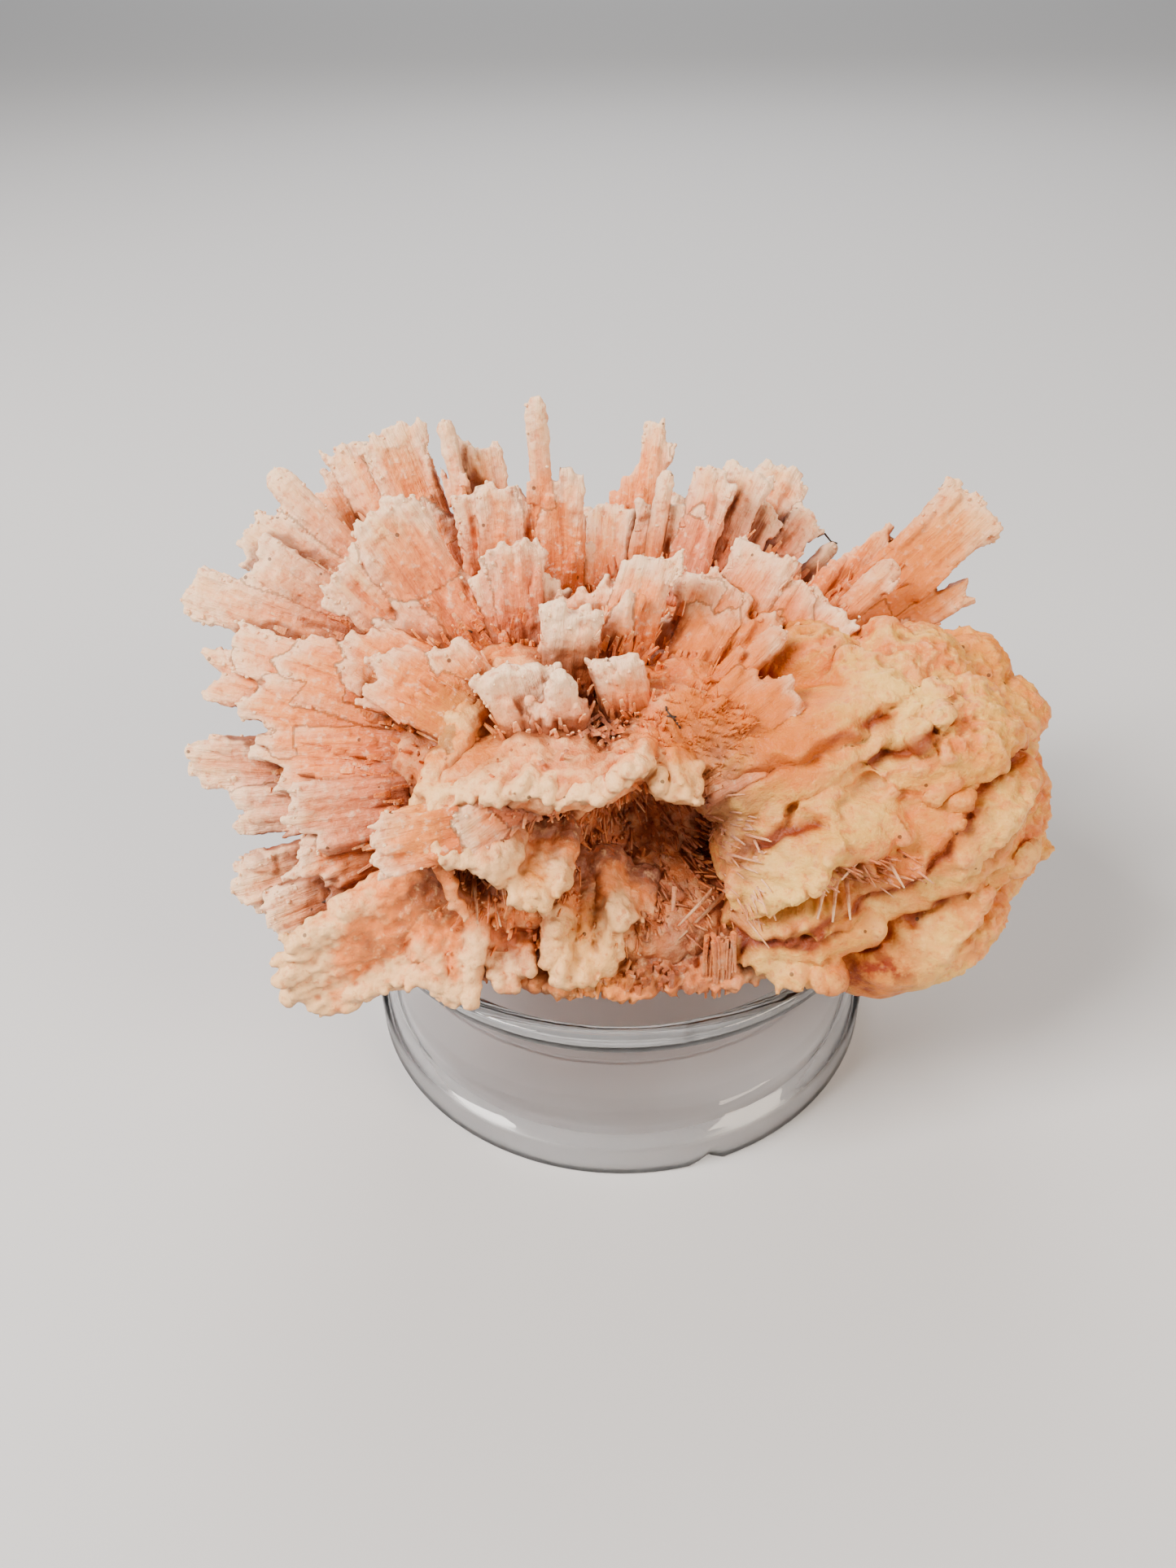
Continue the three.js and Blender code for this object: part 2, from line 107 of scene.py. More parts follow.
def hangLights():
    for name, box in softBoxes.items():
        data = bpy.data.lights.new(name, "AREA")
        data.size = box["size"]
        data.energy = box["power"]
        data.color = box["tint"]
        light = bpy.data.objects.new(name, data)
        scene.collection.objects.link(light)
        light.location = box["place"]
        aim = Vector((0, 0, 0.03)) - light.location
        light.rotation_euler = aim.to_track_quat("-Z", "Y").to_euler()
    world = bpy.data.worlds.new("room")
    world.use_nodes = True
    sky = world.node_tree.nodes["Background"]
    sky.inputs["Color"].default_value = roomLight["tint"]
    sky.inputs["Strength"].default_value = roomLight["strength"]
    scene.world = world


placeCamera()
layFloor()
hangLights()
print("camera, floor and lights are placed")


# Small helpers for shapes

def randomStream(seed):  # the solid model's own stream, so its blades come out the same here
    state = seed * 2654435761 % 4294967296

    def draw():
        nonlocal state
        state = (state * 1664525 + 1013904223) % 4294967296
        return state / 4294967296
    return draw


def waves(points, scale, seed=0):
    # smooth gradient noise, about -0.7 to 0.7, with waves about "scale" mm long
    place = points / scale + seed * 17.31
    cell = np.floor(place).astype(np.int64)
    local = place - cell
    ease = local ** 3 * (local * (local * 6 - 15) + 10)
    total = np.zeros(len(points))
    for corner in product((0, 1), repeat=3):
        key = (cell + corner) @ np.array([73856093, 19349663, 83492791])
        key = (key ^ (key >> 15)) * 2246822519 & 0xFFFFFFFF
        key = (key ^ (key >> 13)) * 3266489917 & 0xFFFFFFFF
        slope = np.stack([key & 1023, (key >> 10) & 1023, (key >> 20) & 1023], 1) / 511.5 - 1
        side = np.where(corner, ease, 1 - ease).prod(1)
        total += side * (slope * (local - corner)).sum(1)
    return total


def ridges(points, scale, seed=0):
    return 1 - 2.6 * np.abs(waves(points, scale, seed))


def smoothStep(low, high, value):
    share = np.clip((value - low) / (high - low), 0, 1)
    return share * share * (3 - 2 * share)


def unit(vectors):
    return vectors / np.maximum(np.linalg.norm(vectors, axis=-1, keepdims=True), 1e-9)


def addWedge(bm, base, tip, outward, wide, thick, tipShare=0.3, tipThick=0.4):
    # one lath or splinter from base to tip, narrowing to its end
    along = tip - base
    across = along.cross(outward).normalized()
    facing = across.cross(along).normalized()
    for vert in bmesh.ops.create_cube(bm, size=1)["verts"]:
        share = vert.co.z + 0.5
        side = across * vert.co.x * wide * (1 - share + share * tipShare)
        depth = facing * vert.co.y * thick * (1 - share + share * tipThick)
        vert.co = base + along * share + side + depth


def addLump(bm, place, size, turn=None, detail=2):
    made = bmesh.ops.create_icosphere(bm, subdivisions=detail, radius=1)["verts"]
    shape = Matrix.LocRotScale(place, turn, size)
    bmesh.ops.transform(bm, matrix=shape, verts=made)
    return made


def grownTogether(bm, name, voxel):
    # one closed skin round everything in the bmesh
    bmesh.ops.recalc_face_normals(bm, faces=bm.faces)
    raw = bpy.data.meshes.new(name)
    bm.to_mesh(raw)
    bm.free()
    holder = bpy.data.objects.new(name, raw)
    scene.collection.objects.link(holder)
    skin = holder.modifiers.new("skin", "REMESH")
    skin.mode = "VOXEL"
    skin.voxel_size = voxel * 1
    skin.use_smooth_shade = True
    solved = holder.evaluated_get(bpy.context.evaluated_depsgraph_get())
    mesh = bpy.data.meshes.new_from_object(solved)
    bpy.data.objects.remove(holder)
    bpy.data.meshes.remove(raw)
    return mesh


def pointsOf(mesh, what="co"):
    values = np.empty(len(mesh.vertices) * 3)
    mesh.vertices.foreach_get(what, values)
    return values.reshape(-1, 3)


def setPoints(mesh, points):
    mesh.vertices.foreach_set("co", points.ravel())
    mesh.update()


def smoothed(mesh, values, rounds):
    pairs = np.empty(len(mesh.edges) * 2, dtype=np.int64)
    mesh.edges.foreach_get("vertices", pairs)
    first, second = pairs.reshape(-1, 2).T
    count = len(mesh.vertices)
    near = np.bincount(first, minlength=count) + np.bincount(second, minlength=count)
    for _ in range(rounds):
        total = np.zeros_like(values)
        for axis in range(values.shape[1]):
            total[:, axis] = np.bincount(first, values[second, axis], count)
            total[:, axis] += np.bincount(second, values[first, axis], count)
        values = 0.4 * values + 0.6 * total / np.maximum(near, 1)[:, None]
    return values


def raised(mesh, rounds):  # how far each point stands out of its smoothed surroundings, mm
    points = pointsOf(mesh)
    return ((points - smoothed(mesh, points, rounds)) * pointsOf(mesh, "normal")).sum(1)


# The seat: nothing of the cluster comes lower than the ring lets it
seat = {"waist": 19.3, "bore": 22.0, "outer": 26.1, "top": 18.45, "waistTop": 14.8}


def liftOffRing(points):
    radius = np.hypot(points[:, 0], points[:, 1])
    slope = np.interp(radius, [seat["waist"], seat["bore"]], [seat["waistTop"], seat["top"]])
    over = (radius > seat["waist"]) & (radius < seat["outer"]) & (points[:, 2] > 8)
    points[:, 2] = np.where(over, np.maximum(points[:, 2], slope), points[:, 2])
    return points


# The blades, in fans. Places and sizes are those of the solid model, apart from the last fan,
# a row of thinner plates behind the right-hand ones that only this script has.

fans = {
    "backLeftFan": {
        "root": (-12, 7, 35), "face": (0.2, -1, 0.5), "thick": 2.4,
        "blades": [
            {"tip": (-28, 18, 50), "width": 4.2, "peak": 0.7},
            {"tip": (-24.6, 18, 51.8), "width": 4.4, "end": "flat"},
            {"tip": (-20.6, 18, 53.4), "width": 5.8, "end": "flat", "peak": 0.6},
            {"tip": (-17, 15, 48.6), "width": 4.2, "peak": 0.2},
            {"tip": (-14.8, 14, 55.5), "width": 1.8, "end": "round"},
            {"tip": (-12.3, 16, 54.4), "width": 4.4, "peak": 0.4},
            {"tip": (-12.6, 9, 51), "width": 3.2, "end": "flat"},
            {"tip": (-10.2, 9, 53), "width": 4, "peak": 0.4},
        ],
    },
    "tallSpike": {
        "root": (-5.5, 5, 36), "face": (0.05, -1, 0.3), "thick": 2.1,
        "blades": [
            {"tip": (-6.5, 9, 59), "width": 2.3, "end": "round"},
            {"tip": (-4.6, 9, 54.4), "width": 4.2, "peak": 0.55},
            {"tip": (-7.6, 9, 52.2), "width": 2.6, "peak": 0.6},
            {"tip": (-3.6, 10, 48.5), "width": 4.4, "peak": 0.4},
        ],
    },
    "backSpikes": {
        "root": (1, 12, 34), "face": (-0.1, -1, 0.2), "thick": 2.2,
        "blades": [
            {"tip": (3.6, 26, 50.8), "width": 5.6, "end": "spike", "peak": 0.9},
            {"tip": (-2.4, 24, 42.4), "width": 2.4, "end": "round"},
            {"tip": (5, 14, 50.3), "root": (1.6, 5, 36), "width": 1.9, "end": "round"},
            {"tip": (4.4, 17, 46.5), "width": 3.4, "peak": 0.3},
        ],
    },
    "backRightCluster": {
        "root": (6, 8, 34), "face": (-0.2, -1, 0.3), "thick": 2.4,
        "blades": [
            {"tip": (7.4, 14, 48.6), "width": 3.6},
            {"tip": (10.2, 16, 51), "width": 4},
            {"tip": (13.2, 18, 48.8), "width": 4.4, "end": "flat"},
            {"tip": (15.6, 20, 46.6), "width": 4.6, "peak": 0.4},
            {"tip": (18.2, 26, 45.4), "width": 5.6, "end": "round"},
            {"tip": (20.8, 22, 43.4), "width": 3},
            {"tip": (22.4, 20, 39.6), "width": 2, "end": "round"},
        ],
    },
    "farRightWing": {
        "root": (17, 6, 33), "face": (-0.25, -1, 0.5), "thick": 2.6,
        "blades": [
            {"tip": (34.4, 15, 46.2), "width": 6.4, "end": "flat", "peak": 0.6},
            {"tip": (34, 13, 40.6), "width": 5.4, "peak": 0.7},
            {"tip": (30.6, 9, 36.8), "width": 5, "peak": 0.6},
            {"tip": (26, 16, 43.6), "width": 4.4, "end": "spike", "peak": 0.7},
            {"tip": (25.4, 8, 43.6), "root": (14, 2, 35), "width": 3.1, "end": "round"},
        ],
    },
    "tongueAndCrest": {
        "root": (-9, -3, 37), "face": (0.3, -1, 0.4), "thick": 2.2,
        "blades": [
            {"tip": (-19.8, 2, 53), "width": 7, "end": "round"},
            {"tip": (-17.6, 2, 49.6), "width": 7.6, "peak": 0.3},
            {"tip": (-23, 0, 48.8), "root": (-13, -3, 37), "width": 4.8, "end": "flat", "peak": 0.8},
            {"tip": (-20.4, -1, 46.6), "root": (-12, -4, 37), "width": 5},
            {"tip": (-8.8, 2, 51.4), "root": (-8, -3, 38), "width": 4.6},
            {"tip": (-11, 1, 49), "root": (-8, -3, 38), "width": 3.6, "peak": 0.4},
            {"tip": (-5.4, 2, 47.4), "root": (-7, -3, 38), "width": 3.8, "peak": 0.3},
        ],
    },
    "middlePlates": {
        "root": (-1, -4, 38), "face": (-0.1, -1, 0.5), "thick": 2.1,
        "blades": [
            {"tip": (-2.6, 0, 48.4), "width": 4.4, "peak": 0.6},
            {"tip": (2.7, 0, 48.8), "width": 4.6, "end": "flat", "peak": 0.9},
            {"tip": (0.8, -3, 47.8), "width": 2.4, "end": "spike"},
            {"tip": (4.4, 4, 43), "root": (1, 0, 36), "width": 4.4},
        ],
    },
    "whitePeak": {
        "root": (-5, -9, 36), "face": (0.1, -1, 0.5), "thick": 2.6,
        "blades": [
            {"tip": (-3.8, -6, 47.7), "width": 4.8, "end": "flat", "peak": 0.4},
            {"tip": (-8.6, -10, 44.8), "width": 6, "end": "flat", "peak": 0.3},
            {"tip": (-4.8, -12, 45.2), "width": 4.6, "end": "spike"},
            {"tip": (-0.6, -9, 44.9), "root": (1, -9, 37), "width": 4.4, "end": "flat", "peak": 0.3},
        ],
    },
    "upperLeftFan": {
        "root": (-16, 3, 37), "face": (0.35, -1, 0.5), "thick": 2.4,
        "blades": [
            {"tip": (-37.4, 4, 45), "width": 4.4, "end": "round", "root": (-16, 0, 37.5)},
            {"tip": (-33.6, 6, 48), "width": 5, "peak": 0.6},
            {"tip": (-31.6, 5, 46), "width": 6.4, "peak": 0.2},
            {"tip": (-30.3, 12, 51.9), "width": 3.2, "end": "round"},
            {"tip": (-33, 10, 47.9), "width": 5.8, "end": "round"},
            {"tip": (-26, 12, 46), "width": 6},
        ],
    },
    "bigLeftFan": {
        "root": (-12, -8, 37.5), "face": (0.2, -1, 0.75), "thick": 2.7,
        "blades": [
            {"tip": (-37, -2, 40.6), "width": 4.6, "peak": 0.6},
            {"tip": (-34, -1, 42.4), "width": 4},
            {"tip": (-30, -3, 42), "width": 6.6, "peak": 0.4},
            {"tip": (-33, -6, 38.8), "width": 7.4},
            {"tip": (-31.6, -8, 35.2), "width": 6, "peak": 0.6},
            {"tip": (-23.8, -3, 43.8), "width": 6.4, "peak": 0.4},
            {"tip": (-21.2, -6.5, 44.6), "root": (-10, -10.5, 38), "width": 6, "peak": 0.4},
            {"tip": (-15.4, -6, 45.4), "root": (-8, -9, 37), "width": 4, "peak": 0.4},
        ],
    },
    "lowerLeftFans": {
        "root": (-14, -11, 32), "face": (0.15, -1, 0.4), "thick": 2.6,
        "blades": [
            {"tip": (-37.2, -6, 33.6), "width": 4.6, "end": "round", "root": (-18, -7, 33)},
            {"tip": (-35, -8, 29.6), "width": 4.4},
            {"tip": (-28.6, -14.5, 33), "width": 6.4, "peak": 0.6},
            {"tip": (-28.2, -16, 28.4), "width": 6},
            {"tip": (-33.4, -13, 25), "width": 5.4, "end": "round", "root": (-15, -10, 28.5)},
            {"tip": (-30.6, -15.5, 23.4), "width": 5, "end": "round", "root": (-15, -11.5, 27.5)},
            {"tip": (-21.4, -20, 34.4), "root": (-8, -16, 35), "width": 4.4},
            {"tip": (-13, -18.5, 34.4), "root": (-6, -14, 37), "width": 4.2, "end": "flat"},
        ],
    },
    "rightHandFans": {
        "root": (3, -9, 35), "face": (-0.35, -1, 0.8), "thick": 2.6,
        "blades": [
            {"tip": (5.8, 2, 42.6), "width": 5},
            {"tip": (9.6, 2, 44.4), "width": 5},
            {"tip": (13.4, 2, 44.6), "width": 5},
            {"tip": (14.4, -7, 42.4), "root": (3, -13, 36), "width": 6.4, "peak": 0.6},
            {"tip": (15, -10, 39.4), "root": (3, -14, 35), "width": 6},
            {"tip": (13.4, -4, 44), "root": (5, -8, 37), "width": 2.6, "end": "round"},
        ],
    },
    "rearRightPlates": {
        "root": (6, -2, 36), "face": (-0.35, -1, 0.6), "thick": 2.0,
        "blades": [
            {"tip": (7.6, 2, 46), "width": 3.6, "end": "flat", "peak": 0.6},
            {"tip": (10.2, 3, 47), "width": 4.6, "peak": 0.4},
            {"tip": (13.3, 4, 47.3), "width": 5.4, "end": "flat", "peak": 0.6},
            {"tip": (16.7, 3, 45.6), "root": (9, -3, 36), "width": 6.2, "peak": 0.4},
            {"tip": (18.8, 1.4, 43.4), "root": (10, -4, 36), "width": 4.6, "end": "flat"},
        ],
    },
}

farSide = {
    "heart": (-2, 4, 27), "width": 6, "thick": 3, "seed": 77,
    "rows": [
        {"rise": 44, "reach": 25, "from": 22, "to": 158, "count": 5},
        {"rise": 20, "reach": 28, "from": 12, "to": 172, "count": 6},
        {"rise": -2, "reach": 27, "from": 30, "to": 176, "count": 5},
    ],
}

bladePieces = {
    "crown_blades": ["backLeftFan", "tallSpike", "backSpikes", "backRightCluster"],
    "centre_blades": ["tongueAndCrest", "middlePlates", "whitePeak"],
    "left_blades": ["upperLeftFan", "bigLeftFan"],
    "lower_left_blades": ["lowerLeftFans"],
    "right_blades": ["farRightWing", "rightHandFans", "rearRightPlates"],
    "far_side_blades": ["farSide"],
}

bladeForm = {
    "rootWidthShare": 0.62,   # width at the root against the width at the end
    "tipThickShare": 0.6,
    "rootSpread": 0.35,
    "layerStep": 1.1,         # mm between a fan's three layers of blades
    "startShare": 0.24,       # a blade begins this far along, inside the mass
    "slabShare": 0.8,         # the plain slab within the laths, against the solid's thickness
    "lathPitch": 1.0,         # mm
    "toothPitch": 0.66,
    "toothLength": 0.95,
    "flakes": 2.0,            # flakes to each mm of a blade's width
    "rodWidth": 3.3,          # round-ended blades narrower than this are smooth rods
    "voxel": 0.22,            # mm
    "farVoxel": 0.34,
    "finePitch": 0.42,        # the finest teeth, which are crystals of their own
}


def sawEnd(width, length, peak, random):
    teeth = max(2, math.floor(width / 2.3 + 0.5))
    pitch = width / teeth
    points = []
    for i in range(teeth):
        right = width / 2 - i * pitch
        middle = (right - pitch / 2) / width + 0.5
        fall = abs(middle - peak) * width * (0.75 + 0.5 * random())
        top = length - fall - pitch * 0.25 * random()
        if i > 0:
            points.append((right, top - pitch * (0.25 + 0.5 * random())))
        points.append((right - pitch * (0.3 + 0.4 * random()), top))
    first, last = points[0], points[-1]
    return [(width / 2, first[1] - pitch * 0.7)] + points + [(-width / 2, last[1] - pitch * 0.7)]


def roundEnd(width, length, peak, random):
    angles = [math.pi * i / 4 for i in range(5)]
    return [(width / 2 * math.cos(a), length + width * 0.45 * (math.sin(a) - 1)) for a in angles]


def spikeEnd(width, length, peak, random):
    middle = (peak - 0.5) * width * 0.5
    return [
        (width * 0.5, length * (0.50 + 0.1 * random())),
        (width * 0.30 + middle, length * (0.66 + 0.08 * random())),
        (width * 0.20 + middle, length * 0.97),
        (middle, length),
        (middle - width * 0.18, length * 0.95),
        (middle - width * 0.24, length * (0.72 + 0.06 * random())),
        (-width * 0.5, length * (0.52 + 0.1 * random())),
    ]


def flatEnd(width, length, peak, random):
    slope = (peak - 0.5) * width
    return [
        (width / 2, length - width * 0.2 + slope * 0.5),
        (width * 0.34, length + slope * 0.3),
        (0, length - width * 0.06 * random()),
        (-width * 0.38, length - slope * 0.3),
        (-width / 2, length - width * 0.16 - slope * 0.5),
    ]


endShapes = {"saw": sawEnd, "round": roundEnd, "spike": spikeEnd, "flat": flatEnd}


def bladesOfFan(name):
    if name == "farSide":
        return farSideBlades()
    fan = fans[name]
    tips = [Vector(each["tip"]) for each in fan["blades"]]
    middle = sum(tips, Vector()) / len(tips)
    blades = []
    for i, (each, tip) in enumerate(zip(fan["blades"], tips)):
        root = (tip - middle) * bladeForm["rootSpread"] + Vector(fan["root"])
        root += Vector(fan["face"]).normalized() * bladeForm["layerStep"] * (i * 2 % 3 - 1)
        seed = 100 + 20 * list(fans).index(name) + i
        blades.append({"face": fan["face"], "thick": fan["thick"], "seed": seed, "root": root, **each})
    return blades


def farSideBlades():
    random = randomStream(farSide["seed"])
    heartPlace = Vector(farSide["heart"])
    blades = []
    for row in farSide["rows"]:
        for i in range(row["count"]):
            heading = row["from"] + (row["to"] - row["from"]) * (i + 0.6 * random()) / row["count"]
            rise = math.radians(row["rise"] + 14 * (random() - 0.5))
            reach = row["reach"] * (0.9 + 0.2 * random())
            heading = math.radians(heading)
            level = math.cos(rise)
            way = Vector((level * math.cos(heading), level * math.sin(heading), math.sin(rise)))
            blades.append({
                "tip": heartPlace + way * reach,
                "root": heartPlace + way * 6,
                "face": (random() - 0.5, 0.4 * random(), 1),
                "width": farSide["width"] * (0.7 + 0.5 * random()),
                "thick": farSide["thick"],
                "end": ("saw", "flat", "round")[i % 3],
                "seed": 300 + 20 * row["rise"] + i,
            })
    return blades


def framed(each):
    # a blade's own directions and outline, with u across it and v along it
    blade = {"end": "saw", "peak": 0.5, **each}
    root = Vector(blade["root"])
    along = Vector(blade["tip"]) - root
    length = along.length
    along.normalize()
    outward = Vector(blade["face"])
    outward = (outward - along * outward.dot(along)).normalized()
    width = blade["width"]
    outline = endShapes[blade["end"]](width, length, blade["peak"], randomStream(blade["seed"]))
    blade.update(root=root, along=along, outward=outward, across=along.cross(outward), length=length)
    blade.update(foot=width * bladeForm["rootWidthShare"] / 2, outline=outline)
    blade["rod"] = blade["end"] == "round" and width < bladeForm["rodWidth"]
    return blade


def topAt(blade, u):  # the height of the outline at u
    outline = blade["outline"][::-1]
    return np.interp(u, [p[0] for p in outline], [p[1] for p in outline])


def halfAt(blade, v):  # half the blade's width at v
    share = np.clip(v / blade["length"], 0, 1)
    return blade["foot"] + (blade["width"] / 2 - blade["foot"]) * share


def thinAt(blade, v):  # half the thickness at v
    share = np.clip(v / blade["length"], 0, 1)
    return blade["thick"] / 2 * (1 - (1 - bladeForm["tipThickShare"]) * share)


def placeOn(blade, u, v, w):
    return blade["root"] + blade["across"] * u + blade["along"] * v + blade["outward"] * w


def addSlab(bm, blade):
    start = blade["length"] * bladeForm["startShare"]
    half = halfAt(blade, start)
    corners = [(-half, start), (half, start)]
    corners += [(u * 0.94, start + (v - start) * 0.96) for u, v in blade["outline"]]
    share = bladeForm["slabShare"]
    verts = [bm.verts.new(placeOn(blade, u, v, -thinAt(blade, v) * share)) for u, v in corners]
    made = bmesh.ops.extrude_face_region(bm, geom=[bm.faces.new(verts)])["geom"]
    for vert in [part for part in made if isinstance(part, bmesh.types.BMVert)]:
        v = (vert.co - blade["root"]).dot(blade["along"])
        vert.co += blade["outward"] * 2 * thinAt(blade, v) * share


def addRod(bm, blade):
    # a narrow round-ended blade: an eight-sided rod with a blunt domed end
    start = blade["length"] * bladeForm["startShare"]
    width = blade["width"]
    steps = [(start, 0.95), (blade["length"] - width * 0.55, 0.92), (blade["length"] - width * 0.2, 0.75),
             (blade["length"], 0.4)]
    for (low, lowShare), (high, highShare) in zip(steps, steps[1:]):
        made = bmesh.ops.create_cone(bm, cap_ends=True, segments=8, radius1=1, radius2=1, depth=1)["verts"]
        for vert in made:
            share = vert.co.z + 0.5
            v = low + (high - low) * share
            wide = lowShare + (highShare - lowShare) * share
            half = halfAt(blade, v)
            vert.co = placeOn(blade, vert.co.x * half * wide, v, vert.co.y * thinAt(blade, v) * wide)


def addLaths(bm, blade, random):
    # laths side by side that open out like a fan, each with its own end and thickness
    width = blade["width"]
    count = max(2, round(width / bladeForm["lathPitch"]))
    start = blade["length"] * bladeForm["startShare"]
    for i in range(count):
        share = (i + 0.5) / count * 2 - 1
        u = share * width / 2
        top = float(topAt(blade, u)) + 1.1 * (random() - 0.6)
        if random() < 0.3 and width > 3.5:
            top -= width * (0.1 + 0.25 * random())
        thick = 2 * thinAt(blade, top)
        lean = (random() - 0.5) * thick * 0.4
        base = placeOn(blade, share * halfAt(blade, start), start, lean * 0.5)
        tip = placeOn(blade, u, top, lean)
        wide = width / count * (1.05 + 0.25 * random())
        addWedge(bm, base, tip, blade["outward"], wide, thick * 1.3, 0.5 + 0.45 * random(), 0.6)


def addTeeth(bm, blade, random):
    # a fringe of small teeth along both edges, pointing to the tip
    outline = blade["outline"]
    for side, edgeTop in ((1, outline[0][1]), (-1, outline[-1][1])):
        v = edgeTop * (0.38 + 0.1 * random())
        while v < edgeTop + 0.4:
            size = 0.35 + 1.15 * random() ** 1.6
            edge = side * halfAt(blade, v) * (0.92 + 0.06 * random())
            base = placeOn(blade, edge, v, (random() - 0.5) * thinAt(blade, v) * 1.4)
            way = blade["along"] + blade["across"] * side * (0.05 + 0.3 * random())
            way += blade["outward"] * (random() - 0.5) * 0.4
            tip = base + way.normalized() * bladeForm["toothLength"] * size
            addWedge(bm, base, tip, blade["outward"], 0.55 * size + 0.2, 0.6, 0.2, 0.3)
            v += bladeForm["toothPitch"] * (0.4 + 1.2 * random())


def addTipTeeth(bm, blade, random):
    # the end of the blade is uneven: a few blunt points that scarcely pass its outline
    width = blade["width"]
    count = round(width / 1.05)
    for i in range(count):
        u = ((i + random()) / count - 0.5) * width * 0.94
        top = float(topAt(blade, u))
        w = (random() - 0.5) * thinAt(blade, top) * 1.2
        base = placeOn(blade, u * 0.97, top - 1.8, w)
        way = blade["along"] + blade["across"] * (u / width + (random() - 0.5) * 0.3)
        tip = base + way * (1.5 + 0.7 * random() * random())
        addWedge(bm, base, tip, blade["outward"], 0.8 + 0.6 * random(), 0.9, 0.5, 0.5)


def addFlakes(bm, blade, random):
    # flakes that lie on both faces like shingles, most of them near the root
    for i in range(round(blade["width"] * bladeForm["flakes"])):
        v = blade["length"] * (0.28 + 0.6 * random() ** 1.5)
        half = halfAt(blade, v)
        side = 1 if i % 3 else -1
        u = (random() - 0.5) * 1.9 * half
        base = placeOn(blade, u, v, side * thinAt(blade, v) * 0.8)
        way = blade["along"] + blade["outward"] * side * (0.04 + 0.13 * random())
        way += blade["across"] * (u / half * 0.15 + (random() - 0.5) * 0.2)
        long = 1.4 + 2.8 * random()
        if v + long < topAt(blade, u):
            wide = 0.6 + 1.1 * random()
            addWedge(bm, base, base + way * long, blade["outward"], wide, 0.5, 0.35, 0.5)


def localPlaces(blades, points):
    # the blade that each point lies on, with its place across, along and out of it
    best = np.full(len(points), 1e9)
    owner = np.zeros(len(points), dtype=int)
    place = np.zeros((len(points), 3))
    for i, blade in enumerate(blades):
        away = points - np.array(blade["root"])
        u, v, w = (away @ np.array(blade[way]) for way in ("across", "along", "outward"))
        gap = np.maximum(np.abs(u) - halfAt(blade, v), np.abs(w) - thinAt(blade, v))
        gap = np.maximum(gap, np.maximum(v - topAt(blade, u), -v))
        near = gap < best
        best[near] = gap[near]
        owner[near] = i
        place[near] = np.stack([u, v, w], 1)[near]
    return owner, place


def bladeMarks(blades, points):
    # how far along its blade each point lies, how near its rim, and the grain's directions
    owner, place = localPlaces(blades, points)
    rim = np.zeros(len(points))
    for i, blade in enumerate(blades):
        mine = owner == i
        u, v = place[mine, 0], place[mine, 1]
        side = halfAt(blade, v) - np.abs(u) + 1.6 * (1 - v / blade["length"])
        rim[mine] = np.minimum(side, topAt(blade, u) - v)
    lengths = np.array([blade["length"] for blade in blades])[owner]
    reach = np.clip(place[:, 1] / lengths, 0, 1)
    crust = 1 - smoothStep(0.0, 2.4, rim + 1.6 * waves(points, 1.6, 3))
    crust *= smoothStep(0.5, 0.9, reach)
    tones = np.array([randomStream(blade["seed"] + 7)() for blade in blades])[owner]
    grain = place + owner[:, None] * np.array([37.0, 11.0, 5.0])
    return {"reach": reach, "crust": crust, "tone": tones, "grain": grain}


def makeBlades(name, blades):
    bm = bmesh.new()
    for blade in blades:
        random = randomStream(blade["seed"] + 1000)
        if blade["rod"]:
            addRod(bm, blade)
        else:
            addSlab(bm, blade)
            addLaths(bm, blade, random)
            addTipTeeth(bm, blade, random)
            addTeeth(bm, blade, random)
        addFlakes(bm, blade, random)
    mesh = grownTogether(bm, name, bladeForm["farVoxel" if name == "far_side_blades" else "voxel"])
    points = pointsOf(mesh)
    marks = bladeMarks(blades, points)
    crust, grain = marks["crust"], marks["grain"]

    # fine relief: streaks along the blade, a snowy grain on the crust, scales at the root
    streak = ridges(grain / np.array([1, 7, 1.5]), 0.7, 5) * 0.1
    streak += waves(grain / np.array([1, 5, 1]), 1.5, 6) * 0.18 + waves(points, 0.6, 10) * 0.08
    snow = waves(points, 0.55, 7) * 0.2 + waves(points, 1.2, 8) * 0.2
    scales = ridges(grain / np.array([1, 3, 1]), 0.9, 9) * 0.16
    lift = streak * (1 - crust) + snow * crust + scales * (1 - smoothStep(0.3, 0.65, marks["reach"]))
    setPoints(mesh, liftOffRing(points + pointsOf(mesh, "normal") * lift[:, None]))
    return mesh, marks


pieces = {}
bladeSets = {}
for pieceName, fanNames in bladePieces.items():
    bladeSets[pieceName] = [framed(each) for fan in fanNames for each in bladesOfFan(fan)]
    pieces[pieceName] = makeBlades(pieceName, bladeSets[pieceName])
    print(pieceName, "has", len(pieces[pieceName][0].polygons), "faces")


# The mass at the heart and the cream lobe, as stretched balls grown together

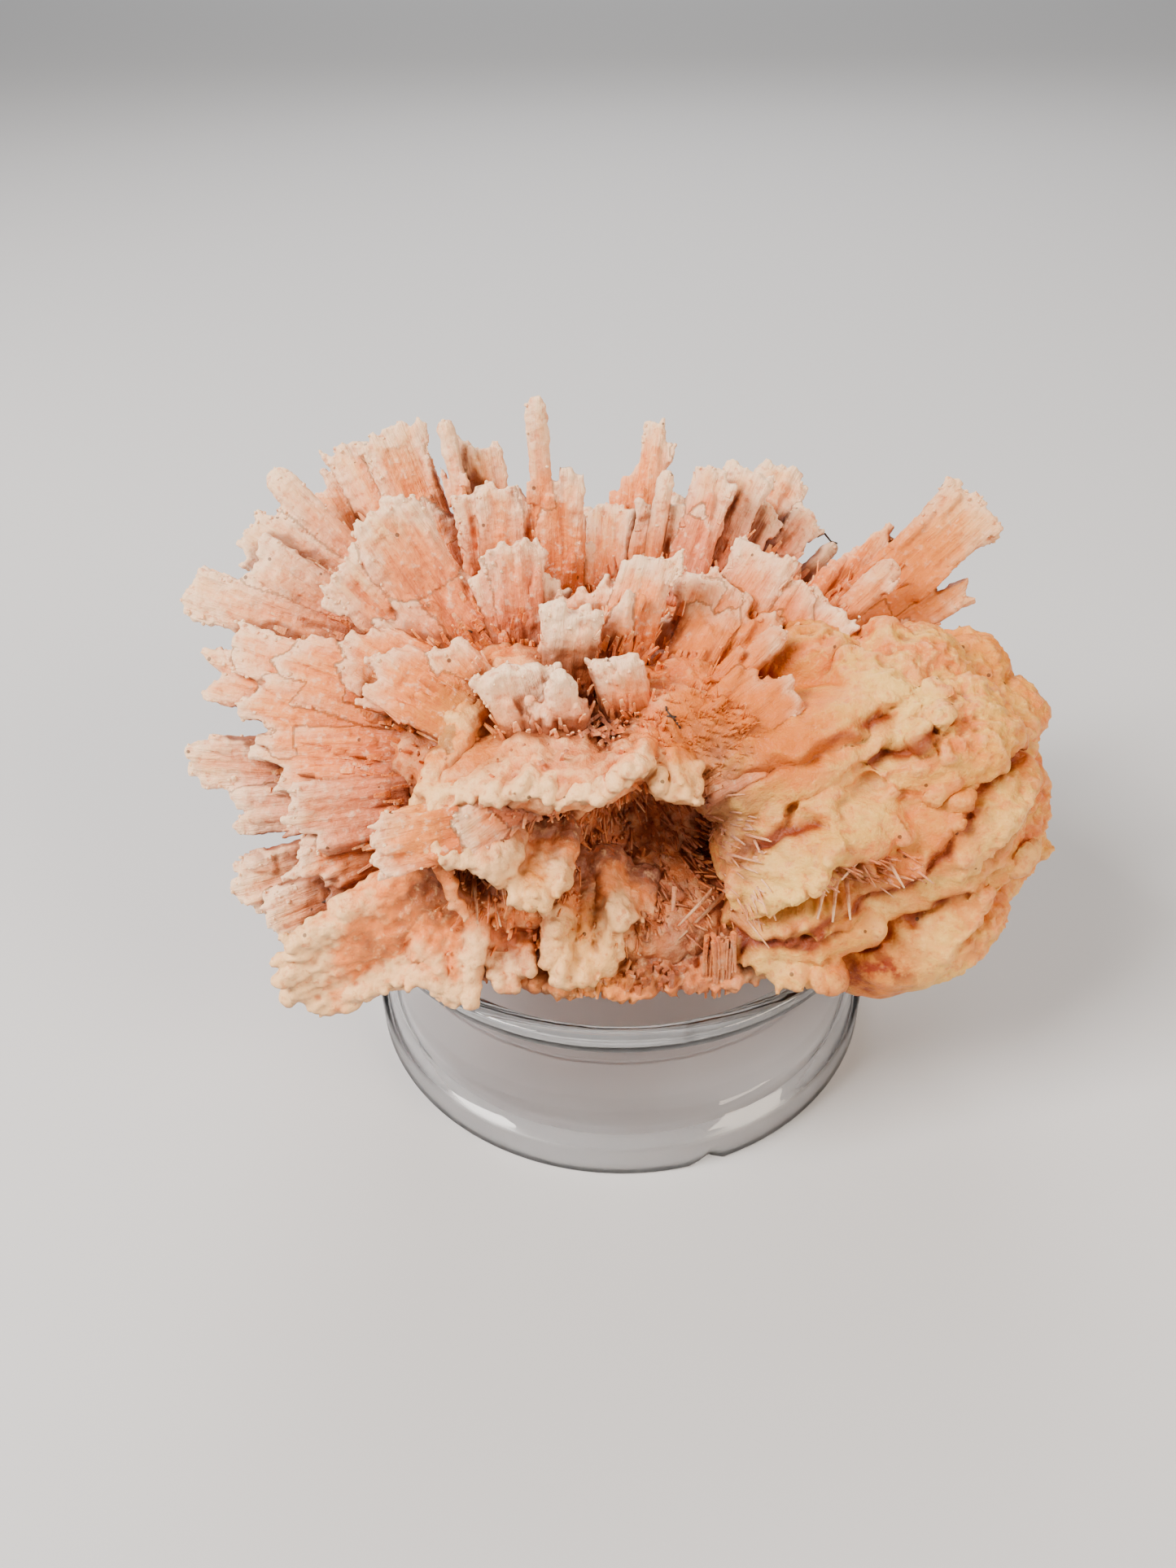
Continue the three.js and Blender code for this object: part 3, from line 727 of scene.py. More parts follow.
heart = {
    "centre": (-4, 0, 29),
    "masses": [
        {"at": (-5, 2, 28), "size": (17, 16, 12.5)},
        {"at": (-17, -3, 29.5), "size": (10, 10, 7.5)},
        {"at": (-11, -13, 26), "size": (7.5, 5.5, 6)},
        {"at": (-6.5, -12.5, 37), "size": (10, 5, 2.6), "tilt": 5},
        {"at": (-1, -14, 21.5), "size": (13, 5, 4.2)},
        {"at": (8, 12, 33), "size": (13, 10, 8.5)},
        {"at": (-4, 12, 22), "size": (20, 15.5, 7)},
        {"at": (-14, -13.5, 22.5), "size": (8, 6, 4.6)},
        {"at": (4, -6, 37), "size": (7, 7, 4.5)},
        {"at": (-8, -5.5, 40), "size": (5, 4, 3)},
        {"at": (-15, -8.5, 35), "size": (4.5, 4.5, 3.6)},
    ],
    "voxel": 0.36,
}

lobe = {
    "centre": (21, -1, 28),
    "masses": [
        {"at": (22, -3, 26.5), "size": (15.5, 14.5, 12)},
        {"at": (13, -9, 35.5), "size": (11, 6, 4.2), "tilt": 12, "turn": 8},
        {"at": (25, -8, 35.5), "size": (8, 6, 4.2), "tilt": 8, "turn": 14},
        {"at": (15, -13.5, 30.5), "size": (8.5, 6, 3.8), "tilt": 16, "turn": 6},
        {"at": (26, -11, 29.5), "size": (9.5, 6, 4.4), "tilt": 22, "turn": 22},
        {"at": (15, -15.5, 23.5), "size": (7, 5, 3.6), "tilt": 6},
        {"at": (25, -13.5, 20), "size": (9, 6, 5), "tilt": 24, "turn": 14},
        {"at": (31.5, -6, 26), "size": (5.6, 7, 9)},
        {"at": (32, -4, 19), "size": (5, 6, 4.5)},
        {"at": (31.5, 2, 34), "size": (4, 4, 4.5)},
        {"at": (34, -1, 32.5), "size": (3.5, 4, 3.6)},
        {"at": (21.5, -6, 38), "size": (3.8, 3.6, 3.4)},
        {"at": (16, -1, 39.5), "size": (4.6, 4.6, 3)},
        {"at": (24.5, -2, 38.5), "size": (5, 4.5, 3.8)},
        {"at": (27, 8, 27), "size": (9, 9, 8.5)},
    ],
    "voxel": 0.28,
    "flowCentre": (2, -10, 28),  # the lobe's folds open out from here
    "knobs": 80,                 # blunt flat-ended crystals that stud its right side
}

hollows = [
    {"at": (-1.6, -12.5, 41), "size": (1.9, 4, 2.4)},
    {"at": (1.5, -16.5, 30), "size": (6.4, 8.5, 5)},
    {"at": (-7.5, -19.5, 33.6), "size": (5, 5, 2.6), "tilt": -10},
    {"at": (-12, -19, 29.5), "size": (3.4, 4, 2)},
    {"at": (19, -20.2, 29.4), "size": (4.6, 4, 1.9), "tilt": -6, "turn": 8},
]


def turnOf(ball):
    turn = Matrix.Rotation(math.radians(ball.get("turn", 0)), 3, "Z")
    return turn @ Matrix.Rotation(math.radians(-ball.get("tilt", 0)), 3, "Y")


def crossings(ball, centre, ways):
    # where rays from the centre enter and leave a stretched ball
    shape = np.array(turnOf(ball)) * np.array(ball["size"])
    back = np.linalg.inv(shape)
    start = back @ (np.array(centre) - np.array(ball["at"]))
    steps = ways @ back.T
    half = steps @ start
    size = (steps ** 2).sum(1)
    room = half ** 2 - size * (start @ start - 1)
    root = np.sqrt(np.maximum(room, 0))
    return room > 0, (-half - root) / size, (root - half) / size


def mound(form, detail):
    bm = bmesh.new()
    bmesh.ops.create_icosphere(bm, subdivisions=detail, radius=1)
    ways = unit(np.array([vert.co for vert in bm.verts]))
    reach = np.zeros(len(ways))
    for ball in form["masses"]:
        met, _, leave = crossings(ball, form["centre"], ways)
        reach = np.maximum(reach, np.where(met, leave, 0))
    for hollow in hollows:
        met, enter, _ = crossings(hollow, form["centre"], ways)
        cut = met & (enter > 0) & (enter < reach)
        reach = np.where(cut, enter, reach)
    for vert, way, far in zip(bm.verts, ways, reach):
        vert.co = Vector(way * far) + Vector(form["centre"])
    return bm


# Ledges in front: round rods grown together, from one line of places to another, in mm.
# "thick" is a rod's radius at its root and at its end, "uneven" how far the ends differ,
# "spread" how far the rods stray from the lines, "pale" how light their ends are (1 if not given)
# and "splinters" how many stand on each rod (4 if not given).
ledges = {
    "upperLip": {
        "from": [(-13.5, -9, 37.4), (-9, -9, 37.8), (-5, -9.5, 37.4), (-1, -10, 37.4), (2, -10, 38.2)],
        "to": [(-17.8, -17, 34.4), (-14, -16.6, 37.2), (-10.8, -16.9, 38.3), (-8, -17.2, 38.9),
               (-4.2, -17.6, 38), (-0.6, -17, 38.7), (1.6, -15.4, 40)],
        "count": 130, "thick": (1.25, 0.45), "uneven": 1.8, "droop": 0.9, "spread": 0.7, "pale": 0.85,
        "splinters": 3,
    },
    "vein": {
        "from": [(-11.5, -7.5, 41), (-12.5, -10, 40), (-14, -13, 38.2)],
        "to": [(-12.5, -10, 40), (-13.8, -13, 38.6), (-16, -16, 36)],
        "count": 22, "thick": (0.8, 0.6), "uneven": 1, "droop": 0.4, "spread": 1.3, "pale": 0.8,
    },
    "lowerLip": {
        "from": [(-14, -13.5, 36), (-8, -13, 34.8)],
        "to": [(-17, -18.8, 34.2), (-14, -19.3, 33.9), (-11.2, -19.4, 33), (-8.6, -18.9, 32)],
        "count": 76, "thick": (1.1, 0.45), "uneven": 1.2, "droop": 1, "spread": 0.7, "pale": 0.9,
        "splinters": 3,
    },
    "lipRod": {
        "from": [(-15.4, -17.5, 34)], "to": [(-13.4, -19.7, 28.8)],
        "count": 2, "thick": (0.7, 0.35), "uneven": 0.6, "droop": 0.5, "spread": 0.5, "pale": 0.75,
    },
    "paleLump": {
        "from": [(-6.4, -13.5, 31.5), (-4.6, -13.5, 31.2)],
        "to": [(-9.6, -19.2, 30.4), (-8.6, -19.9, 29.8), (-6.8, -20, 30), (-5.2, -19.4, 30.8)],
        "count": 44, "thick": (0.9, 0.42), "uneven": 1.2, "droop": 0.7, "spread": 0.8, "pale": 0.95,
    },
    "yellowLump": {
        "from": [(-5.4, -12.5, 27), (-1.4, -12.5, 26.6)],
        "to": [(-6, -18.8, 26), (-5.9, -19.7, 23.4), (-4.6, -20.2, 21.8), (-3, -20.3, 21.2), (-1.5, -19.8, 22.8),
               (-0.9, -18.6, 26)],
        "count": 110, "thick": (1.2, 0.48), "uneven": 1.6, "droop": 0.7, "spread": 1.7, "pale": 0.9,
    },
    "smallLump": {
        "from": [(0.5, -13, 25.5), (2, -13, 25.5)], "to": [(0.4, -17, 25), (2, -17, 23.2)],
        "count": 12, "thick": (0.8, 0.45), "uneven": 1, "droop": 0.5, "spread": 0.9, "pale": 0.7,
    },
    "leftLump": {
        "from": [(-15.4, -16, 27.5), (-12.6, -16, 26.5)],
        "to": [(-16.6, -20, 24), (-16, -20.6, 21.6), (-14.8, -20.9, 20.1), (-13.6, -20.7, 20.2), (-12.8, -20, 24)],
        "count": 54, "thick": (1.3, 0.55), "uneven": 1.4, "droop": 0.5, "spread": 1.3, "pale": 0.8,
    },
    "jaggedPiece": {
        "from": [(-11.6, -15.5, 24.5), (-8, -15.5, 24.5)],
        "to": [(-11.6, -19.8, 22.4), (-10.2, -20.6, 21), (-8, -20, 22.2)],
        "count": 24, "thick": (0.8, 0.35), "uneven": 1.6, "droop": 0.6, "spread": 0.8, "pale": 0.85,
    },
    "finger": {
        "from": [(-15, -15, 29.5), (-14, -16, 27), (-13.5, -16, 24)],
        "to": [(-21.5, -19.2, 28.4), (-25, -20, 26.8), (-27, -20.4, 24.8), (-27.4, -20.6, 22.6), (-26.4, -20.6, 20.2),
               (-24.2, -20.4, 19), (-20.6, -20, 20.8), (-17.6, -19.8, 22)],
        "count": 110, "thick": (1.6, 0.58), "uneven": 2.4, "droop": 0.5, "spread": 1.5, "pale": 0.85,
    },
    "blobByPit": {
        "from": [(2.6, -11, 37.6), (4.6, -11, 37.6)],
        "to": [(2.6, -15.6, 37.2), (4.2, -16.2, 37.6), (5.6, -15.4, 37.2)],
        "count": 24, "thick": (1, 0.6), "uneven": 1.1, "droop": 0.9, "spread": 1, "pale": 1,
    },
    # the bottom edge's ends stay brown, as its pale value is low: partly its own colour, partly painted shade under
    # the cluster
    "bottomEdge": {
        "from": [(-13, -14, 23.4), (-4, -15.4, 22.8), (4, -15.4, 22.8), (12, -14, 23.4)],
        "to": [(-14, -17.6, 20.4), (-8, -19.8, 20), (-3, -20.5, 19.8), (3, -20.5, 19.6), (8, -19.8, 19.6),
               (13, -17.8, 20)],
        "count": 180, "thick": (0.8, 0.34), "uneven": 1.2, "droop": 0.6, "spread": 1.0, "pale": 0.3,
        "splinters": 2,
    },
}

# The lobe's own ledges, which belong to its skin: two toothed hems and a white blob
lobeLedges = {
    "toothedHem": {
        "from": [(9.4, -12.5, 33), (12.5, -12.5, 34.5), (16, -12.5, 35)],
        "to": [(8.4, -18.4, 28.6), (10.2, -19.3, 27.2), (12.1, -19.8, 28.6), (13.6, -19.9, 29.4), (15, -19.6, 31),
               (16.2, -18.8, 33)],
        "count": 60, "thick": (1.3, 0.4), "uneven": 1.2, "droop": 0.6, "spread": 0.8,
    },
    "lowHem": {
        "from": [(10.5, -14.5, 24.5), (16.5, -14.5, 24.5)],
        "to": [(9.4, -18.9, 22), (12, -20.2, 21.2), (14.6, -20.8, 20.4), (17.4, -20.6, 20)],
        "count": 50, "thick": (1.1, 0.4), "uneven": 1.2, "droop": 0.5, "spread": 0.8,
    },
    "whiteBlob": {
        "from": [(19, -4, 39.8), (24, -4, 39.6)],
        "to": [(18.8, -9, 39.8), (20.4, -10.4, 38.6), (22.4, -10.6, 38.2), (24.2, -9.4, 39)],
        "count": 64, "thick": (1.9, 0.7), "uneven": 1.4, "droop": 0.9, "spread": 0.7, "splinters": 1,
    },
}
ledgeVoxel = 0.22


def scattered(random, size):
    return Vector([random() - 0.5 for _ in range(3)]) * size


def alongLine(line, share):
    if len(line) == 1:
        return Vector(line[0])
    place = share * (len(line) - 1)
    i = min(int(place), len(line) - 2)
    return Vector(line[i]).lerp(Vector(line[i + 1]), place - i)


def rodsOf(ledge, random):
    rods = []
    for i in range(ledge["count"]):
        share = (i + random()) / ledge["count"]
        base = alongLine(ledge["from"], share) + scattered(random, ledge["spread"])
        tip = alongLine(ledge["to"], share) + scattered(random, ledge["spread"])
        tip += (tip - base).normalized() * ledge["uneven"] * (random() - 0.6)
        tip.z -= ledge["droop"] * random()
        size = 0.75 + 0.5 * random()
        thick = [far * size for far in ledge["thick"]]
        rods.append({"base": base, "tip": tip, "thick": thick, "pale": ledge.get("pale", 1),
                     "splinters": ledge.get("splinters", 4)})
    return rods


def addRound(bm, rod, random):
    # one round rod with a domed end and a few splinters on it
    along = rod["tip"] - rod["base"]
    wide, narrow = rod["thick"]
    made = bmesh.ops.create_cone(bm, cap_ends=True, segments=10, radius1=wide, radius2=narrow, depth=along.length)
    place = Matrix.LocRotScale(rod["base"] + along / 2, along.to_track_quat("Z", "Y"), None)
    bmesh.ops.transform(bm, matrix=place, verts=made["verts"])
    addLump(bm, rod["tip"], Vector((narrow, narrow, narrow)), None, 1)
    for _ in range(rod["splinters"]):
        base = rod["tip"] - along * (0.6 * random() ** 2) + scattered(random, narrow * 1.6)
        way = (along.normalized() + scattered(random, 1.2)).normalized()
        tip = base + way * (0.2 + 0.7 * random())
        addWedge(bm, base - way * 0.6, tip, scattered(random, 1), 0.5 + 0.5 * random(), 0.5, 0.4, 0.5)


def alongRods(rods, points):  # how far along its nearest rod each point lies
    best = np.full(len(points), 1e9)
    reach = np.zeros(len(points))
    for rod in rods:
        base, step = np.array(rod["base"]), np.array(rod["tip"] - rod["base"])
        around = np.flatnonzero((np.abs(points - base - step / 2) < np.abs(step) / 2 + 3).all(1))
        away = points[around] - base
        share = np.clip(away @ step / (step @ step), 0, 1)
        gap = np.linalg.norm(away - share[:, None] * step, axis=1) - rod["thick"][1]
        near = gap < best[around]
        best[around[near]] = gap[near]
        reach[around[near]] = share[near] * rod["pale"]
    return reach


heartMesh = grownTogether(mound(heart, 6), "heart_mass", heart["voxel"])
points = pointsOf(heartMesh)
lift = waves(points, 3.2, 21) * 0.8 + ridges(points, 1.7, 22) * 0.35 + waves(points, 0.8, 23) * 0.5
setPoints(heartMesh, liftOffRing(points + pointsOf(heartMesh, "normal") * lift[:, None]))
pieces["heart_mass"] = (heartMesh, {"grain": points})

bm = bmesh.new()
random = randomStream(501)
rods = [rod for ledge in ledges.values() for rod in rodsOf(ledge, random)]
for rod in rods:
    addRound(bm, rod, random)
ledgeMesh = grownTogether(bm, "front_ledges", ledgeVoxel)
points = smoothed(ledgeMesh, pointsOf(ledgeMesh), 2)
reach = alongRods(rods, points)
lift = waves(points, 2.6, 24) * 0.5 + ridges(points, 1.3, 25) * 0.2 + waves(points, 0.7, 26) * 0.3
setPoints(ledgeMesh, liftOffRing(points + pointsOf(ledgeMesh, "normal") * lift[:, None]))
# painted shade: ledge faces that look down get a darker brown
underside_shade = smoothStep(0.15, -0.75, pointsOf(ledgeMesh, "normal")[:, 2])
pieces["front_ledges"] = (ledgeMesh, {"grain": points, "reach": reach, "underside_shade": underside_shade})
print("heart and ledges have", len(heartMesh.polygons), "and", len(ledgeMesh.polygons), "faces")


# The lobe is laid in sheets. Each seam is the line where one sheet passes under the next.

seams = [
    {"line": [(6.6, -15, 35.4), (10.4, -14.2, 37), (14.8, -13.2, 38.2), (19, -11.4, 39.2), (21, -10.6, 39.6)],
     "rust": 0.9},
    {"line": [(19.7, -12.9, 36.8), (22.4, -12.9, 37.6), (24.4, -12, 38.6)], "rust": 0.55},
    {"line": [(9.6, -16.6, 31.2), (12.4, -17.2, 33.2), (14.4, -17.2, 33.8)], "rust": 0.8},
    {"line": [(15.9, -18.8, 25), (18.3, -17.5, 26), (21, -17.4, 27.1), (23.8, -17.3, 28.4), (25.4, -16.1, 31),
              (27.1, -15.5, 32.4), (27.6, -14.2, 33.9), (29.8, -12.4, 34.6), (33, -9, 35)], "rust": 1.0},
    {"line": [(19.6, -19, 20.8), (21.8, -18.1, 23), (25.2, -17.7, 24.8), (28, -16.4, 26)], "rust": 1.0},
    {"line": [(9.4, -18.2, 23.4), (13.6, -19.4, 24.4), (15.2, -19.6, 23.9), (17.4, -19.1, 24.8)], "rust": 0.9},
    {"line": [(29, -14.6, 28.6), (31.4, -12.4, 31), (34, -9, 32.4)], "rust": 0.3},
    {"line": [(28, -16, 22), (31, -13.6, 24.4), (34.6, -9.6, 26.4)], "rust": 0.5},
]


def acrossSeam(points, line):
    # the distance from the line along the surface, and how far above or below it each point lies
    best = np.full(len(points), 1e9)
    above = np.zeros(len(points))
    for start, end in zip(line, line[1:]):
        start, step = np.array(start, float), np.array(end, float) - np.array(start, float)
        share = np.clip((points - start) @ step / (step @ step), 0, 1)
        gap = points - start - share[:, None] * step
        out = unit(start + step / 2 - np.array(lobe["centre"]))
        depth = gap @ out
        far = np.hypot(np.linalg.norm(gap - depth[:, None] * out, axis=1), depth * 0.15)
        upward = np.cross(np.array([0.25, -1.0, 0.1]), step)
        upward /= np.linalg.norm(upward)
        near = far < best
        best[near] = far[near]
        above[near] = (gap @ upward)[near]
    return best, above


def addKnobs(bm, form, random):
    # blunt crystals that stand out of the lobe's right side, at random headings
    skin = [vert.co.copy() for vert in bm.verts]
    middle = Vector(form["centre"])
    added = 0
    while added < form["knobs"]:
        place = skin[int(random() * len(skin))]
        out = (place - middle).normalized()
        if place.z < 19 or place.x < 27 + 0.6 * min(place.y, 4):
            continue
        way = (out + scattered(random, 1.1)).normalized()
        tip = place + way * (1.0 * random() - 0.2)
        wide = 1.6 + 2.6 * random()
        thick = 0.8 + 1.0 * random()
        addWedge(bm, place - way * 1.6, tip, scattered(random, 1), wide, thick, 0.7 + 0.4 * random(), 0.9)
        added += 1


bm = mound(lobe, 6)
random = randomStream(611)
addKnobs(bm, lobe, random)
for ledge in lobeLedges.values():
    for rod in rodsOf(ledge, random):
        addRound(bm, rod, random)
lobeMesh = grownTogether(bm, "cream_lobe", lobe["voxel"])
points = smoothed(lobeMesh, pointsOf(lobeMesh), 1)
normal = pointsOf(lobeMesh, "normal")
away = points - np.array(lobe["flowCentre"])
far = np.linalg.norm(away, axis=1)
ways = away / far[:, None]
flow = np.stack([ways[:, 1] * 9, ways[:, 2] * 9, far * 0.13], 1)  # long along the folds, short across
frontSide = smoothStep(0.3, -0.5, normal[:, 1])
lumpy = smoothStep(25, 31, points[:, 0] + 5 * waves(points, 6, 34) + 3.2 * np.clip(points[:, 2] - 37, 0, 9))
lift = (ridges(flow, 1.3, 31) * 0.2 + waves(flow, 0.7, 32) * 0.32) * frontSide * (1 - lumpy)
lift += waves(points, 4.5, 33) * 0.9 * (1 - 0.5 * frontSide)
lift += lumpy * (waves(points, 2.6, 35) * 0.9 + ridges(points, 1.6, 36) * 0.42 + ridges(points, 0.8, 37) * 0.24)
lift += waves(points, 0.8, 38) * 0.16 + waves(points, 1.8, 39) * 0.25

seamMark, glowMark = np.zeros((2, len(points)))
bent = points + np.stack([waves(points, 1.7, 52 + i) for i in range(3)], 1) * 0.9
faded = smoothStep(-0.45, 0.1, waves(points, 2.6, 56))
for seam in seams:
    far, above = acrossSeam(bent, seam["line"])
    near = np.exp(-(far / 3.2) ** 4)
    upper = np.exp(-np.clip(above, 0, 9) / 2.4) * smoothStep(0, 0.5, above)
    lower = np.exp(np.clip(above, -9, 0) / 1.2) * (above <= 0)
    lift += near * (0.45 * upper - 0.35 * lower)
    lift -= near * 0.5 * np.exp(-(above / 0.4) ** 2) * np.exp(-(far / 2.0) ** 4)
    line = 2.3 * np.exp(-(far / 0.5) ** 2) * seam["rust"] * (0.3 + 0.7 * faded)
    seamMark = np.maximum(seamMark, np.clip(line, 0, 1))
    glowMark = np.maximum(glowMark, seam["rust"] * np.exp(-(far / 1.7) ** 2))
setPoints(lobeMesh, liftOffRing(points + normal * lift[:, None]))
pieces["cream_lobe"] = (lobeMesh, {"grain": flow * 3, "seam": seamMark, "glow": glowMark})
print("cream lobe has", len(lobeMesh.polygons), "faces")


# How crowded the space in front of each point is: a stand-in for how deep in a valley it lies, used to paint shade
# into the valleys

crowding = {"cell": 1.0, "ahead": 2.4}


def blurred(grid, rounds):
    for _ in range(rounds):
        for axis in range(3):
            grid = (np.roll(grid, 1, axis) + grid * 2 + np.roll(grid, -1, axis)) / 4
    return grid


allPoints = np.concatenate([pointsOf(mesh) for mesh, _ in pieces.values()])
gridLow = allPoints.min(0) - 8
gridSize = ((allPoints.max(0) + 8 - gridLow) / crowding["cell"]).astype(int) + 1
cells = ((allPoints - gridLow) / crowding["cell"]).astype(int)
shell = np.zeros(gridSize)
np.add.at(shell, tuple(cells.T), 1)
shell = np.minimum(shell / (11.0), 1)
crowd = blurred(shell, 5)


def crowdAt(points, normals):
    ahead = ((points + normals * crowding["ahead"] - gridLow) / crowding["cell"]).astype(int)
    ahead = np.clip(ahead, 0, np.array(gridSize) - 1)
    return smoothStep(0.12, 0.45, crowd[tuple(ahead.T)])


# painted shade deep in the valleys, and how far each point stands out of its surroundings
for name, (mesh, marks) in pieces.items():
    value = crowdAt(pointsOf(mesh), pointsOf(mesh, "normal"))
    marks["valley_shade"] = smoothed(mesh, value[:, None], 4)[:, 0]
    marks["crest"] = np.clip(raised(mesh, 14) / 0.25, -1, 1)


# Small crystals that aren't part of a skin: each is one splinter with its own place and colour

smallForm = {"seed": 5, "heartCentre": (-4, 2, 28)}
rng = np.random.default_rng(smallForm["seed"])


def jitter(amount):
    return Vector(rng.uniform(-amount, amount, 3))


def crystalPiece(name, crystals):
    bm = bmesh.new()
    for each in crystals:
        addWedge(bm, each["base"], each["tip"], each["face"], each["wide"], each["thick"],
                 each.get("tipShare", 0.45), 0.5)
    mesh = bpy.data.meshes.new(name)
    bm.to_mesh(mesh)
    bm.free()
    points = pointsOf(mesh)
    bases = np.repeat([each["base"] for each in crystals], 8, axis=0)
    tips = np.repeat([each["tip"] for each in crystals], 8, axis=0)
    share = ((points - bases) * (tips - bases)).sum(1) / ((tips - bases) ** 2).sum(1)
    ends = np.repeat([each["reach"] for each in crystals], 8, axis=0)
    marks = {
        "reach": ends[:, 0] + (ends[:, 1] - ends[:, 0]) * np.clip(share, 0, 1),
        "tone": np.repeat(rng.random(len(crystals)), 8),
        "crust": np.repeat([each.get("crust", 0) for each in crystals], 8) * 1.0,
        # painted shade, strongest at each splinter's base
        "valley_shade": np.repeat([each.get("valley_shade", 0) for each in crystals], 8) * (1 - 0.6 * share),
        "grain": points,
        "crest": np.zeros(len(points)),
    }
    setPoints(mesh, liftOffRing(points))
    pieces[name] = (mesh, marks)
    print(name, "has", len(crystals), "crystals")


def chosen(mesh, wanted, count):  # places on a skin, picked where "wanted" is high
    weight = np.clip(wanted, 0, None)
    picks = rng.choice(len(weight), size=count, replace=False, p=weight / weight.sum())
    places, normals = pointsOf(mesh)[picks], pointsOf(mesh, "normal")[picks]
    return [(Vector(place), Vector(normal), i) for place, normal, i in zip(places, normals, picks)]


def rootCrystals():
    # splinters that fill the valleys: they stand on the mass and lie along the blades' roots
    found = []
    mesh, marks = pieces["heart_mass"]
    points = pointsOf(mesh)
    wanted = marks["valley_shade"] * (points[:, 2] > 21) * (points[:, 1] < 14)
    for place, normal, i in chosen(mesh, wanted, 1500):
        out = (place - Vector(smallForm["heartCentre"])).normalized()
        way = (out * 0.7 + normal * 0.7 + jitter(0.55)).normalized()
        long = rng.uniform(0.35, 1.4)
        found.append({"base": place - way * 0.3, "tip": place + way * long, "face": normal + jitter(0.6),
                      "wide": rng.uniform(0.2, 0.55), "thick": rng.uniform(0.2, 0.4),
                      "reach": (0.45, rng.uniform(0.6, 1.0)), "valley_shade": marks["valley_shade"][i] * 0.5})
    for name, blades in bladeSets.items():
        mesh, marks = pieces[name]
        points = pointsOf(mesh)
        owner, _ = localPlaces(blades, points)
        wanted = (marks["valley_shade"] > 0.3) * smoothStep(0.75, 0.3, marks["reach"]) * (points[:, 2] > 20)
        for place, normal, i in chosen(mesh, wanted, 60 + 22 * len(blades)):
            along = blades[owner[i]]["along"]
            way = (along + normal * rng.uniform(0.1, 0.5) + jitter(0.22)).normalized()
            long = rng.uniform(0.4, 1.5)
            reach = marks["reach"][i]
            found.append({"base": place - way * 0.4, "tip": place + way * long, "face": normal,
                          "wide": rng.uniform(0.25, 0.75), "thick": rng.uniform(0.15, 0.35),
                          "reach": (reach, min(reach + 0.4, 0.95)), "valley_shade": marks["valley_shade"][i] * 0.4})
    return found


def edgeCrystals():
    # the finest teeth along the blades' edges
    found = []
    for blades in bladeSets.values():
        for blade in blades:
            if blade["rod"]:
                continue
            outline = blade["outline"]
            spots = []
            for side, top in ((1, outline[0][1]), (-1, outline[-1][1])):
                for v in np.arange(top * 0.4, top, bladeForm["finePitch"]):
                    spots.append((side * halfAt(blade, v) * 0.97, v, side * 0.35))
            for u, v, spread in spots:
                if rng.random() < 0.35:
                    continue
                base = placeOn(blade, u, v, thinAt(blade, v) * rng.uniform(-0.8, 0.8))
                way = blade["along"] + blade["across"] * (spread + rng.uniform(-0.15, 0.15))
                way = (way + blade["outward"] * rng.uniform(-0.25, 0.25)).normalized()
                reach = float(np.clip(v / blade["length"], 0, 1))
                found.append({"base": base - way * 0.6, "tip": base + way * rng.uniform(0.1, 0.65),
                              "face": blade["outward"] + jitter(0.3), "wide": rng.uniform(0.3, 0.6),
                              "thick": rng.uniform(0.3, 0.5), "tipShare": 0.25,
                              "reach": (reach * 0.95, min(reach + 0.12, 1.0)),
                              "crust": 0.6 * smoothStep(0.5, 0.9, reach)})
    return found


longNeedles = [  # base and tip of the few that stand clear in front of the hollow, in mm
    ((7.4, -16, 26.6), (4.2, -18.4, 24.6)),
    ((8.2, -15.6, 25.4), (4.2, -18.6, 23.2)),
    ((4.1, -15.5, 26.4), (3.6, -18.4, 19.8)),
    ((-9.6, -15, 32), (-8.8, -19, 30.6)),
    ((-11.5, -15.5, 28.4), (-10.2, -19.6, 26.2)),
    ((-12.4, -15.8, 29), (-12, -19.8, 26.8)),
    ((16.2, -17.2, 28.4), (15.2, -20, 26.6)),
    ((17, -17.4, 28.6), (16.4, -20.2, 26.4)),
    ((17.8, -17.4, 28.4), (17.8, -20.2, 26.6)),
    ((19.4, -16.6, 31), (16.8, -19.6, 30.4)),
    ((20.6, -16.6, 30.6), (22, -19.2, 29)),
]


